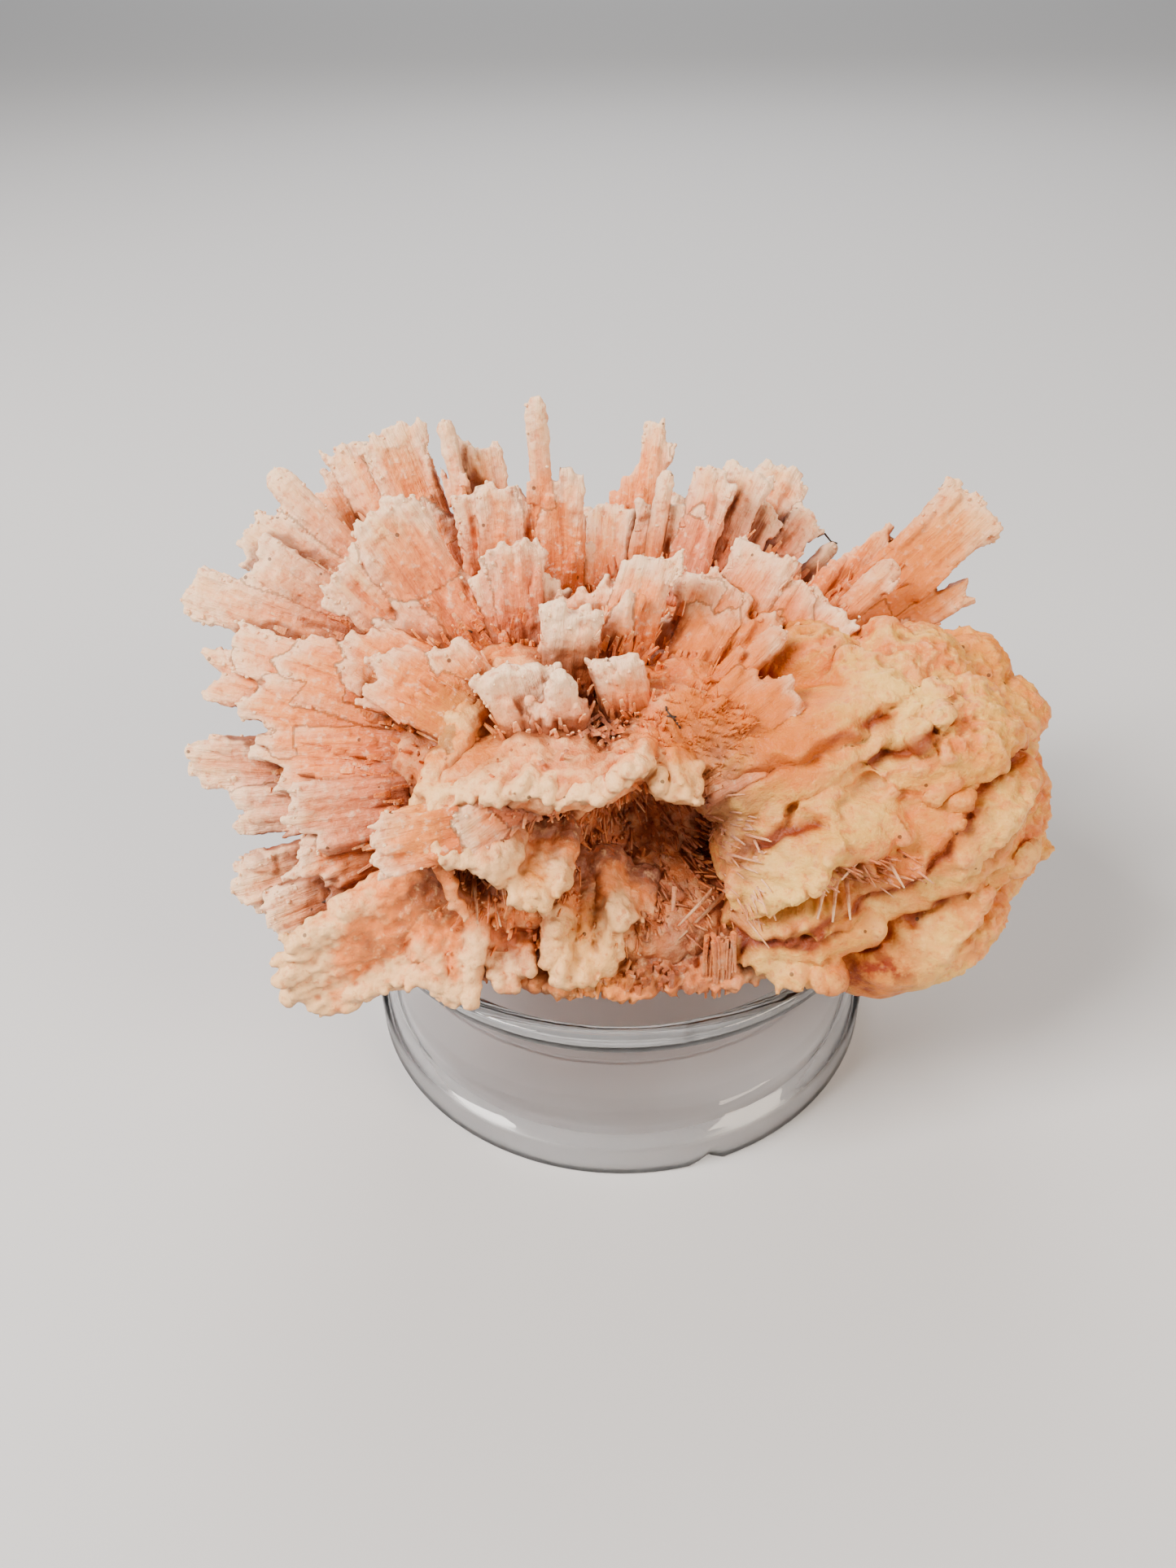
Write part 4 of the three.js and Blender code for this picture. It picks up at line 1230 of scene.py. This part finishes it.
def needles():
    # fine needles that line the front hollow and the cleft in the lobe, and shorter debris
    found = []
    beds = [
        {"mesh": "heart_mass", "at": (1.5, -13, 28.5), "size": (9, 8, 8), "from": (0, -8, 33), "count": 620},
        {"mesh": "cream_lobe", "at": (8.5, -14, 28), "size": (4.5, 6, 6), "from": (0, -9, 31), "count": 160},
        {"mesh": "cream_lobe", "at": (19, -18, 29.6), "size": (4.6, 3, 2), "from": (9, -16, 33), "count": 60},
        {"mesh": "heart_mass", "at": (-11, -16, 30), "size": (5, 5, 4), "from": (-9, -9, 34), "count": 200},
        {"mesh": "right_blades", "at": (6.4, -12, 39), "size": (4.5, 4, 3), "from": (5, -8, 32), "count": 240,
         "short": 0.5},
        {"mesh": "heart_mass", "at": (5, -11, 39), "size": (5, 4, 3.5), "from": (4, -8, 32), "count": 140,
         "short": 0.5},
    ]
    for bed in beds:
        mesh, marks = pieces[bed["mesh"]]
        points = pointsOf(mesh)
        gap = np.linalg.norm((points - np.array(bed["at"])) / np.array(bed["size"]), axis=1)
        wanted = (gap < 1) * (points[:, 2] > 19.5) * 1.0
        for place, normal, i in chosen(mesh, wanted, bed["count"]):
            out = (place - Vector(bed["from"])).normalized()
            way = (out * 0.9 + normal * rng.uniform(0.1, 0.6) + jitter(0.45)).normalized()
            long = rng.uniform(1.4, 3.0) if rng.random() < 0.15 else rng.uniform(0.5, 1.5)
            long *= bed.get("short", 1)
            thin = rng.uniform(0.1, 0.2) * (0.6 + 0.4 * bed.get("short", 1))
            pale = rng.random() ** 2
            found.append({"base": place - way * 0.3, "tip": place + way * long, "face": normal,
                          "wide": thin * 1.5, "thick": thin, "tipShare": 0.4,
                          "reach": (0.4, 0.5 + 0.4 * pale), "valley_shade": 0.45 * (1 - pale)})
    for base, tip in longNeedles:
        found.append({"base": Vector(base), "tip": Vector(tip), "face": Vector((0, -1, 0.3)), "wide": 0.38,
                      "thick": 0.25, "tipShare": 0.35, "reach": (0.7, 1.0), "crust": 0.4, "valley_shade": 0.1})
    return found


def pocketCrystals():
    # matchstick crystals that lie across each other in the pocket, painted dark with shade
    found = []
    for _ in range(34):
        place = Vector((-2.0, -10.6, 39.4)) + Vector(rng.uniform(-1, 1, 3)) * Vector((1.5, 1.6, 0.7))
        way = (jitter(1.0) + Vector((0, -0.2, 0.3))).normalized()
        long = rng.uniform(0.7, 1.3)
        found.append({"base": place - way * long / 2, "tip": place + way * long, "face": Vector((0, -1, 0.6)),
                      "wide": rng.uniform(0.28, 0.42), "thick": 0.3, "tipShare": 0.8,
                      "reach": (0.3, 0.6), "valley_shade": 0.75})
    return found


def hangingCrystals():
    # the ragged lower edge over the ring, and a bundle of hanging rods
    found = []
    for _ in range(240):
        turn = math.radians(rng.uniform(-133, -50))
        radius = rng.uniform(18.4, 21)
        out = Vector((math.cos(turn), math.sin(turn), 0))
        base = out * radius + Vector((0, 0, rng.uniform(20.2, 21.5)))
        tip = base + out * rng.uniform(0, 0.4) + jitter(0.5)
        tip.z = rng.uniform(18.9, 20)
        found.append({"base": base, "tip": tip, "face": out + jitter(0.5), "wide": rng.uniform(0.3, 0.7),
                      "thick": rng.uniform(0.3, 0.5), "tipShare": 0.5,
                      "reach": (0.35, rng.uniform(0.4, 0.7)), "valley_shade": rng.uniform(0.3, 0.7)})
    for _ in range(70):
        base = Vector((rng.uniform(6.4, 8.8), rng.uniform(-19.8, -19.0), rng.uniform(22.4, 24.6)))
        tip = base + Vector((rng.uniform(-0.3, 0.3), -0.3, -rng.uniform(2.6, 5.4)))
        found.append({"base": base, "tip": tip, "face": jitter(1), "wide": rng.uniform(0.22, 0.45),
                      "thick": 0.3, "tipShare": 0.75, "reach": (0.5, rng.uniform(0.65, 1.0)), "valley_shade": 0.1})
    return found


farCrust = {"count": 1700, "long": (0.9, 3.4), "wide": (0.5, 1.6), "lean": 1.7, "full": (9, 20)}


def farCrystals():
    # small flat blades in leaning groups that cover the side away from the photo, shorter at the top
    found = []
    mesh, marks = pieces["heart_mass"]
    points = pointsOf(mesh)
    lean = np.stack([waves(points, 5, 61 + i) for i in range(3)], 1) * farCrust["lean"]
    wanted = smoothStep(4, 11, points[:, 1]) * (points[:, 2] > 19.5)
    wanted *= 0.3 + np.clip(waves(points, 4, 64), 0, 1)
    for place, normal, i in chosen(mesh, wanted, farCrust["count"]):
        size = 0.3 + 0.7 * float(smoothStep(*farCrust["full"], place.y))
        way = (normal * 0.8 + Vector(lean[i]) + jitter(0.2)).normalized()
        found.append({"base": place - way * 0.6, "tip": place + way * rng.uniform(*farCrust["long"]) * size,
                      "face": Vector((0.2, 0.3, 1)) + jitter(0.5), "wide": rng.uniform(*farCrust["wide"]) * size,
                      "thick": rng.uniform(0.3, 0.55), "tipShare": rng.uniform(0.3, 0.9), "crust": 0.3,
                      "reach": (0.4, rng.uniform(0.7, 1.05)), "valley_shade": marks["valley_shade"][i] * 0.5})
    return found


darkFibres = [  # dark hairs that have settled on the stone: first place, heading, short lengths in each
    ((36.3, 1, 31.9), (0.9, 0, 0.5), 5),
    ((-35.2, -6, 33.3), (0.6, 0, -0.8), 3),
    ((-35, -6, 33), (1, -0.2, 0.3), 2),
    ((-23.6, -15.5, 26.8), (0.3, -0.1, -0.9), 4),
    ((-23.2, -15.5, 26), (-0.8, 0, -0.3), 3),
    ((20.5, 19, 40.6), (0.8, 0, -0.5), 4),
    ((-12.2, -4, 43.1), (0.4, 0.2, -0.7), 4),
    ((-11.7, -3, 43.9), (-0.5, 0, 0.6), 3),
    ((3.6, -11, 41.8), (0.4, -0.2, -0.8), 4),
    ((4.2, -11.5, 40.4), (-0.8, 0, 0.2), 3),
]


def onSkin(place):  # the nearest point of any skin, a hair's breadth out of it
    nearest = Vector(allPoints[((allPoints - np.array(place)) ** 2).sum(1).argmin()])
    return nearest + (nearest - Vector(smallForm["heartCentre"])).normalized() * 0.08


def fibreLengths():
    found = []
    for place, heading, count in darkFibres:
        spot = onSkin(place)
        for _ in range(count):
            following = onSkin(spot + Vector(heading).normalized() * 0.55 + jitter(0.2))
            if (following - spot).length > 0.1:
                found.append({"base": spot, "tip": following, "face": Vector((0, -1, 1)), "wide": 0.15,
                              "thick": 0.15, "tipShare": 1.0, "reach": (0, 0)})
                spot = following
    return found


crystalPiece("root_crystals", rootCrystals())
crystalPiece("far_side_crystals", farCrystals())
crystalPiece("edge_crystals", edgeCrystals())
crystalPiece("hollow_needles", needles())
crystalPiece("pocket_crystals", pocketCrystals())
crystalPiece("hanging_crystals", hangingCrystals())
crystalPiece("dark_fibres", fibreLengths())


def grainPiece(name, places):
    bm = bmesh.new()
    for place, size in places:
        addLump(bm, place, Vector((size, size, size)) + jitter(size * 0.35), None, 1)
    mesh = bpy.data.meshes.new(name)
    bm.to_mesh(mesh)
    bm.free()
    setPoints(mesh, liftOffRing(pointsOf(mesh)))
    print(name, "has", len(places), "grains")
    return mesh


snowPlaces = []
for name in bladeSets:
    mesh, marks = pieces[name]
    wanted = marks["crust"] ** 2 * (1 - marks["valley_shade"])
    for place, normal, i in chosen(mesh, wanted, 120):
        snowPlaces.append((place, rng.uniform(0.1, 0.24)))
mesh, marks = pieces["heart_mass"]
wanted = (marks["valley_shade"] + 0.1) * (pointsOf(mesh)[:, 2] > 20)
valleyPlaces = [(place, rng.uniform(0.12, 0.3)) for place, normal, i in chosen(mesh, wanted, 1100)]
grains = [("snow_grains", snowPlaces, 0.95, 0.9), ("valley_grains", valleyPlaces, 0.4, 0.0)]
for name, places, reach, crust in grains:
    mesh = grainPiece(name, places)
    points = pointsOf(mesh)
    count = len(points) // len(places)
    shade = np.repeat(rng.uniform(-0.1, 0.25, len(places)), count)
    # painted shade in the valleys for the valley grains; the snow grains get none
    valley_shade = np.zeros(len(points)) if crust else crowdAt(points, np.zeros((len(points), 3))) * 0.7
    pieces[name] = (mesh, {"reach": np.full(len(points), reach) + shade, "crust": np.full(len(points), crust),
                           "tone": shade * 3, "grain": points, "valley_shade": valley_shade, "crest": np.zeros(len(points))})


# Rusty and orange places, painted shade in the hollows and under the lips, and pale places that are partly painted
# light

rustSpots = [  # place, radius in mm, strength
    ((-10.4, -14.4, 40.2), 1.2, 1.0),
    ((17.2, -20.4, 20), 1.3, 0.9),
    ((19.8, -19.6, 19.6), 1.8, 1.0),
    ((22.7, -18.8, 19.6), 1.9, 1.0),
    ((19.4, -18.8, 17), 1.6, 0.8),
    ((22.8, -17.8, 16), 1.5, 0.7),
    ((-30.7, -11.4, 28), 1.6, 0.8),
    ((-8.6, -19, 24.6), 2.4, 0.8),
    ((-4.6, -18, 29), 2.0, 0.4),
    ((10, -18, 22.6), 1.6, 0.5),
    ((9.6, -17, 27), 1.0, 0.9),
    ((35, -5, 30), 1.6, 0.5),
    ((30.5, -13.2, 31), 1.3, 0.45),
    ((-16.8, -1, 47.6), 1.1, 0.5),
]

orangeSpots = [
    ((6, -11.5, 39.5), 3.0, 0.5),
    ((4.9, -12, 39.6), 1.8, 1.0),
    ((-11, -14, 39.6), 1.8, 0.9),
    ((17.8, -6, 38.4), 2.8, 0.8),
    ((20, -18.8, 19.6), 4.2, 0.7),
    ((31.5, -10, 21.5), 3.0, 0.6),
    ((32.2, -10, 26), 1.8, 0.9),
    ((-16, -16, 25), 4.5, 0.7),
    ((32.6, 2, 33.5), 4.5, 0.8),
    ((36, -5, 25), 3.6, 0.45),
    ((24.5, -15, 33.2), 3.6, 0.6),
    ((19, -17.8, 30), 2.6, 0.5),
    ((31, -13.4, 27), 2.4, 0.6),
    ((13, -13, 38.6), 3.6, 0.7),
    ((-12, -6, 40), 4.0, 0.45),
    ((12, 2, 40), 6.0, 0.6),
    ((9, -7, 41), 6.5, 0.9),
    ((28, 9, 41), 7.0, 0.8),
    ((-24, -6, 40), 7.0, 0.3),
    ((-26, 14, 47), 3.0, 0.5),
]

# painted shade: darker brown in the front hollow, the pocket, the lobe's cleft and under the lips and the lower edge
brownSpots = [
    ((1.8, -13, 29), 7.5, 1.0),
    ((-8, -16.5, 34), 3.4, 0.75),
    ((-12, -16.5, 30), 3.4, 0.75),
    ((7, -14.5, 33), 4.0, 0.8),
    ((18.8, -18.4, 29.4), 2.4, 0.7),
    ((-2, -10.5, 40), 1.8, 0.9),
    ((4, -19, 20.6), 4.6, 0.8),
    ((10.5, -19, 19.6), 2.6, 0.6),
    ((-8.6, -19.6, 20), 3.4, 0.8),
    ((-16, -11, 36), 3.2, 0.5),
    ((7.4, -12, 38), 2.6, 0.5),
]

paleAndLitSpots = [
    # the first two are painted light on the left-hand blades that face the key light; the rest are the stone's own
    # pale crust and ivory
    ((-31, 6, 47), 8.0, 0.5),
    ((-32, -12, 29), 8.0, 0.35),
    ((-5, -8.5, 47.5), 4.0, 0.6),
    ((-8, -11, 45), 3.6, 0.5),
    ((-6, -13, 39.5), 5.0, 0.35),
    ((21.4, -9.2, 39.6), 4.0, 1.0),
    ((12.5, -18.6, 29.2), 3.6, 0.9),
    ((12.5, -19.6, 21.8), 3.4, 0.8),
    ((25, -16.6, 21), 4.2, 1.0),
    ((27.5, -14.5, 29.5), 3.6, 0.8),
    ((18, -14.4, 34.6), 4.2, 0.6),
    ((20.6, -18, 25.6), 2.6, 0.8),
    ((31, -12.6, 32), 2.4, 0.7),
    ((9.5, -15.5, 34), 3, 0.6),
]

yellowSpots = [
    ((-3.4, -19.6, 23), 4.2, 1.0),
    ((-7.3, -19, 30), 2.6, 0.9),
    ((4.4, -15.5, 38), 2.6, 0.7),
    ((-12.6, -10, 40), 3.6, 0.9),
    ((-16.5, -16.5, 36), 3.2, 0.6),
    ((7, -12.4, 38.6), 3.2, 1.0),
    ((33, 3, 38), 6.0, 0.8),
    ((31, 13, 43), 6.0, 0.5),
    ((12, -19, 27.5), 5.0, 0.5),
    ((25, -16, 21), 5.0, 0.6),
]


def spotMask(points, spots, ragged):
    total = np.zeros(len(points))
    for place, radius, strength in spots:
        gap = np.linalg.norm(points - np.array(place), axis=1) / radius + ragged
        total += strength * np.exp(-np.clip(gap, 0, None) ** 2)
    return np.clip(total, 0, 1)


spotSets = {"rust": rustSpots, "orange": orangeSpots, "brown": brownSpots, "pale": paleAndLitSpots,
            "yellow": yellowSpots}
for name, (mesh, marks) in pieces.items():
    points = pointsOf(mesh)
    ragged = 0.6 * waves(points, 1.4, 51)
    for key, spots in spotSets.items():
        marks[key] = spotMask(points, spots, ragged)


# Materials

def addNode(tree, kind, inputs=None, **settings):
    node = tree.nodes.new("ShaderNode" + kind)
    for key, value in settings.items():
        setattr(node, key, value)
    for key, value in (inputs or {}).items():
        socket = node.inputs[key]
        if isinstance(value, bpy.types.NodeSocket):
            tree.links.new(value, socket)
        else:
            socket.default_value = value
    return node


def mark(tree, name, output="Fac"):
    return addNode(tree, "Attribute", attribute_name=name).outputs[output]


def blend(tree, share, first, second, how="MIX"):
    inputs = {0: share, 6: first, 7: second}
    return addNode(tree, "Mix", inputs, data_type="RGBA", blend_type=how).outputs[2]


def ramp(tree, value, low, high, to=1.0, start=0.0):
    inputs = {"Value": value, "From Min": low, "From Max": high, "To Min": start, "To Max": to}
    return addNode(tree, "MapRange", inputs, interpolation_type="SMOOTHSTEP").outputs[0]


def sums(tree, how, first, second, third=0.0):
    return addNode(tree, "Math", {0: first, 1: second, 2: third}, operation=how).outputs[0]


def noise(tree, place, scale, detail=3.0, rough=0.6):
    inputs = {"Vector": place, "Scale": scale, "Detail": detail, "Roughness": rough}
    return addNode(tree, "TexNoise", inputs).outputs[0]


def paint(hexCode):  # a colour given as the eye reads it
    values = [int(hexCode[i:i + 2], 16) / 255 for i in (1, 3, 5)]
    return tuple(v / 12.92 if v <= 0.04045 else ((v + 0.055) / 1.055) ** 2.4 for v in values) + (1,)


stoneFinish = {
    "cream": "#FFC98E", "face": "#F68C42", "base": "#C65A20", "crease": "#7C381C", "rust": "#8A2E06",
    "mauve": "#DE8868", "orange": "#CE6A10", "lobe": "#D89C40", "lobePeach": "#D86E24", "yellow": "#E4A032",
    "ivory": "#F2C870", "brown": "#7E4A36", "speck": "#3A1F14", "seam": "#7A2608", "snow": "#FFDAB6",
    "subsurface": 0.18, "softRadius": (1.0, 0.45, 0.25), "softDepth": 0.0003,
}


def stoneMaterial(name, kind):
    finish = {key: paint(v) if isinstance(v, str) else v for key, v in stoneFinish.items()}
    material = bpy.data.materials.new(name)
    material.use_nodes = True
    tree = material.node_tree
    shader = tree.nodes["Principled BSDF"]
    place = addNode(tree, "TexCoord").outputs["Object"]
    grain = mark(tree, "grain", "Vector")
    valley_shade, crest = mark(tree, "valley_shade"), mark(tree, "crest")
    patchy = noise(tree, place, 260.0)
    fine = noise(tree, place, 1500.0, 4.0)

    if kind == "blade":
        reach, crust, tone = mark(tree, "reach"), mark(tree, "crust"), mark(tree, "tone")
        stretch = addNode(tree, "VectorMath", {0: grain, 1: (1.6, 0.16, 1.0)}, operation="MULTIPLY")
        streaks = noise(tree, stretch.outputs[0], 1.0, 4.0, 0.65)
        climb = sums(tree, "ADD", reach, sums(tree, "MULTIPLY_ADD", streaks, 0.7, -0.35))
        colour = blend(tree, ramp(tree, climb, 0.32, 0.7), finish["base"], finish["face"])
        colour = blend(tree, ramp(tree, tone, 0.62, 0.95, 0.55), colour, finish["mauve"])
        colour = blend(tree, ramp(tree, patchy, 0.5, 0.68, 0.35), colour, finish["orange"])
        colour = blend(tree, ramp(tree, climb, 0.68, 1.06, 0.85), colour, finish["cream"])
        colour = blend(tree, ramp(tree, streaks, 0.5, 0.32, 0.5), colour, finish["base"])
        colour = blend(tree, sums(tree, "MULTIPLY", crust, 0.7), colour, finish["snow"])
        # grooves go darker orange: partly staining, partly painted shade
        colour = blend(tree, ramp(tree, crest, -0.1, -0.8, 0.5), colour, finish["base"])
        bumpSource = sums(tree, "ADD", streaks, sums(tree, "MULTIPLY", fine, 0.6))
    elif kind == "mass":
        colour = blend(tree, ramp(tree, patchy, 0.35, 0.65), finish["base"], finish["face"])
        colour = blend(tree, ramp(tree, crest, 0.1, 0.9, 0.45), colour, finish["cream"])
        # painted shade: grooves darken to a dark brown
        colour = blend(tree, ramp(tree, crest, -0.1, -0.8, 0.4), colour, finish["crease"])
        bumpSource = sums(tree, "ADD", patchy, fine)
    elif kind == "ledge":
        climb = sums(tree, "ADD", mark(tree, "reach"), sums(tree, "MULTIPLY_ADD", patchy, 1.4, -0.7))
        # the rods go brown towards their roots: partly their own colour, partly painted shade where they meet the
        # mass
        colour = blend(tree, ramp(tree, climb, 0.05, 0.45), finish["brown"], finish["face"])
        colour = blend(tree, ramp(tree, climb, 0.45, 0.85), colour, finish["cream"])
        # grooves go darker orange: partly staining, partly painted shade
        colour = blend(tree, ramp(tree, crest, -0.1, -0.9, 0.6), colour, finish["base"])
        # painted shade on the ledges' undersides
        colour = blend(tree, sums(tree, "MULTIPLY", mark(tree, "underside_shade"), 0.7), colour, finish["brown"])
        bumpSource = sums(tree, "ADD", patchy, sums(tree, "MULTIPLY", fine, 0.8))
    else:
        stretch = addNode(tree, "VectorMath", {0: grain, 1: (1.0, 1.0, 0.5)}, operation="MULTIPLY")
        streaks = noise(tree, stretch.outputs[0], 0.45, 4.0, 0.6)
        colour = blend(tree, ramp(tree, streaks, 0.4, 0.58), finish["lobePeach"], finish["lobe"])
        pools = noise(tree, place, 90.0, 2.0)
        colour = blend(tree, ramp(tree, pools, 0.5, 0.7, 0.6), colour, finish["yellow"])
        colour = blend(tree, ramp(tree, noise(tree, place, 170.0), 0.5, 0.62, 0.6), colour, finish["lobePeach"])
        colour = blend(tree, ramp(tree, crest, 0.2, 1.0, 0.25), colour, finish["cream"])
        # folds go dark rust-brown: partly rust that gathers in them, partly painted shade
        colour = blend(tree, ramp(tree, crest, -0.15, -0.9, 0.6), colour, finish["seam"])
        bumpSource = sums(tree, "ADD", streaks, sums(tree, "MULTIPLY", fine, 0.8))

    colour = blend(tree, sums(tree, "MULTIPLY", mark(tree, "yellow"), 0.6), colour, finish["yellow"])
    lightest = finish[{"lobe": "ivory", "blade": "snow"}.get(kind, "cream")]
    # pale patches: the stone's own pale crust and ivory, and painted light on the left-hand blades
    colour = blend(tree, sums(tree, "MULTIPLY", mark(tree, "pale"), 0.85), colour, lightest)
    colour = blend(tree, ramp(tree, fine, 0.47, 0.32, 0.5), colour, finish["base"])
    colour = blend(tree, ramp(tree, fine, 0.53, 0.68, 0.45), colour, lightest)
    mottle = ramp(tree, noise(tree, place, 700.0), 0.38, 0.58, 1.0, 0.2)
    if kind == "lobe":
        glow = sums(tree, "MULTIPLY", mark(tree, "glow"), mottle)
        colour = blend(tree, sums(tree, "MULTIPLY", glow, 0.75), colour, finish["orange"])
        colour = blend(tree, sums(tree, "MULTIPLY", mark(tree, "seam"), 0.95), colour, finish["seam"])
    creaseShare = {"lobe": 0.5, "ledge": 0.5}.get(kind, 0.85)
    # painted shade: deep in the valleys the colour goes to a dark brown
    colour = blend(tree, ramp(tree, valley_shade, 0.28, 1.0, creaseShare), colour, finish["crease"])
    colour = blend(tree, sums(tree, "MULTIPLY", mark(tree, "orange"), 0.9), colour, finish["orange"])
    # painted shade from the darker brown patches
    brownShare = 0.5 if kind == "ledge" else 0.75
    colour = blend(tree, sums(tree, "MULTIPLY", mark(tree, "brown"), brownShare), colour, finish["brown"])
    colour = blend(tree, sums(tree, "MULTIPLY", mark(tree, "rust"), mottle), colour, finish["rust"])

    # scattered dark specks, about a third of a millimetre across
    dots = addNode(tree, "TexVoronoi", {"Vector": place, "Scale": 480.0})
    chance = addNode(tree, "SeparateColor", {0: dots.outputs["Color"]}).outputs[0]
    speck = sums(tree, "MULTIPLY", sums(tree, "LESS_THAN", dots.outputs["Distance"], 0.085),
                 sums(tree, "GREATER_THAN", chance, 0.5))
    colour = blend(tree, sums(tree, "MULTIPLY", speck, 0.75), colour, finish["speck"])

    tree.links.new(colour, shader.inputs["Base Color"])
    tree.links.new(ramp(tree, fine, 0.3, 0.7, 0.6, 0.36), shader.inputs["Roughness"])
    shader.inputs["IOR"].default_value = 1.48
    shader.inputs["Specular IOR Level"].default_value = 0.3
    shader.inputs["Subsurface Weight"].default_value = finish["subsurface"]
    shader.inputs["Subsurface Radius"].default_value = finish["softRadius"]
    shader.inputs["Subsurface Scale"].default_value = finish["softDepth"]
    bump = addNode(tree, "Bump", {"Height": bumpSource, "Strength": 0.8, "Distance": 0.0004})
    tree.links.new(bump.outputs[0], shader.inputs["Normal"])
    return material


fibreFinish = {"dark": "#1C120D", "light": "#4A3020", "roughness": 0.6}


def fibreMaterial():
    material = bpy.data.materials.new("dark_fibre")
    material.use_nodes = True
    tree = material.node_tree
    shader = tree.nodes["Principled BSDF"]
    shades = noise(tree, addNode(tree, "TexCoord").outputs["Object"], 2500.0)
    colour = blend(tree, shades, paint(fibreFinish["dark"]), paint(fibreFinish["light"]))
    tree.links.new(colour, shader.inputs["Base Color"])
    shader.inputs["Roughness"].default_value = fibreFinish["roughness"]
    return material


materials = {kind: stoneMaterial("crystal_" + kind, kind) for kind in ("blade", "mass", "lobe", "ledge")}
materials["fibre"] = fibreMaterial()


# Hand over: millimetres round the ring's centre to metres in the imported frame

def finishPiece(name, mesh, marks, material, node="crystal_cluster"):
    mesh.name = name
    for key, values in marks.items():
        flat = values.ndim == 1
        attribute = mesh.attributes.new(key, "FLOAT" if flat else "FLOAT_VECTOR", "POINT")
        attribute.data.foreach_set("value" if flat else "vector", values.astype(np.float32).ravel())
    mesh.transform(Matrix.Translation(ringMiddle) @ Matrix.Scale(millimetre, 4))
    mesh.materials.clear()
    mesh.materials.append(material)
    mesh.polygons.foreach_set("use_smooth", np.full(len(mesh.polygons), not name.endswith("crystals")))
    piece = bpy.data.objects.new(name, mesh)
    scene.collection.objects.link(piece)
    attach(piece, "root")
    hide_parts(node)
    return piece


kinds = {"heart_mass": "mass", "cream_lobe": "lobe", "front_ledges": "ledge", "dark_fibres": "fibre"}
for name, (mesh, marks) in pieces.items():
    finishPiece(name, mesh, marks, materials[kinds.get(name, "blade")])
print("stone pieces are in place")


# The ring stand: one profile turned round the axis, with a chip out of the foot's front edge

ring = {
    "radius": 25, "height": 18.2, "wall": 1.8, "foot": 3.6, "rim": 1.7, "waist": 2.7,
    "steps": 144, "chipTurn": 17, "chipWide": 2.6, "chipDeep": 0.9,
}


def makeRing():
    radius, wall = ring["radius"], ring["wall"]
    wallTop = ring["height"] - ring["rim"]
    outside, inside = [], []
    for i in range(17):
        share = i / 16
        height = ring["foot"] + (wallTop - ring["foot"]) * share
        inset = ring["waist"] * math.sin(math.pi * share) ** 0.8 + 0.7
        outside.append((radius - inset, height))
        inside.insert(0, (radius - inset - wall + 0.5, height))
    profile = [(radius - wall, 0.15), (radius - wall + 0.15, 0), (radius - 0.25, 0), (radius, 0.25),
               (radius, ring["foot"] - 0.5), (radius - 0.2, ring["foot"] - 0.25), *outside,
               (radius - 0.2, wallTop + 0.15), (radius, wallTop + 0.35), (radius, ring["height"] - 0.25),
               (radius - 0.25, ring["height"]), (radius - wall + 0.25, ring["height"]),
               (radius - wall, ring["height"] - 0.25), *inside]
    bm = bmesh.new()
    verts = [bm.verts.new((far, 0, height)) for far, height in profile]
    edges = [bm.edges.new(pair) for pair in zip(verts, verts[1:] + verts[:1])]
    bmesh.ops.spin(bm, geom=verts + edges, axis=(0, 0, 1), cent=(0, 0, 0), angle=math.tau,
                   steps=ring["steps"], use_merge=True)
    bmesh.ops.remove_doubles(bm, verts=bm.verts, dist=0.0005)
    bmesh.ops.recalc_face_normals(bm, faces=bm.faces)
    turn = math.radians(-90 + ring["chipTurn"])
    chip = Vector((math.cos(turn), math.sin(turn), 0)) * (radius + ring["chipWide"] / 2 - ring["chipDeep"])
    for vert in bm.verts:  # the chip pushes the edge in
        gap = (Vector((vert.co.x, vert.co.y, 0)) - chip).length
        if vert.co.z < ring["foot"] * 0.35 and gap < ring["chipWide"] / 2:
            vert.co -= chip.normalized() * (ring["chipWide"] / 2 - gap)
    mesh = bpy.data.meshes.new("clear_ring")
    bm.to_mesh(mesh)
    bm.free()
    return mesh


acrylicFinish = {"tint": (0.975, 0.985, 1.0, 1), "frost": 0.42, "polish": 0.04}


def acrylicMaterial():
    material = bpy.data.materials.new("clear_acrylic_finish")
    material.use_nodes = True
    tree = material.node_tree
    shader = tree.nodes["Principled BSDF"]
    place = addNode(tree, "TexCoord").outputs["Object"]
    height = addNode(tree, "SeparateXYZ", {0: place}).outputs[2]
    foot = ramp(tree, height, ring["foot"] * millimetre, (ring["foot"] - 0.4) * millimetre)
    stretch = addNode(tree, "VectorMath", {0: place, 1: (1, 1, 0.25)}, operation="MULTIPLY")
    scratches = noise(tree, stretch.outputs[0], 900.0, 5.0, 0.7)
    wear = ramp(tree, scratches, 0.58, 0.72, 0.12)
    rough = sums(tree, "MULTIPLY_ADD", foot, acrylicFinish["frost"], acrylicFinish["polish"])
    tree.links.new(sums(tree, "ADD", rough, wear), shader.inputs["Roughness"])
    shader.inputs["Base Color"].default_value = acrylicFinish["tint"]
    shader.inputs["Transmission Weight"].default_value = 1.0
    shader.inputs["IOR"].default_value = 1.49
    ripple = noise(tree, place, 120.0, 2.0)
    bump = addNode(tree, "Bump", {"Height": ripple, "Strength": 0.25, "Distance": 0.0003})
    tree.links.new(bump.outputs[0], shader.inputs["Normal"])
    return material


finishPiece("clear_ring", makeRing(), {}, acrylicMaterial(), "ring_stand")
print("ring stand is in place")

shown = [piece for piece in scene.objects if piece.type == "MESH"]
for piece in shown:
    piece.data.calc_loop_triangles()
print("triangles in all", sum(len(piece.data.loop_triangles) for piece in shown))
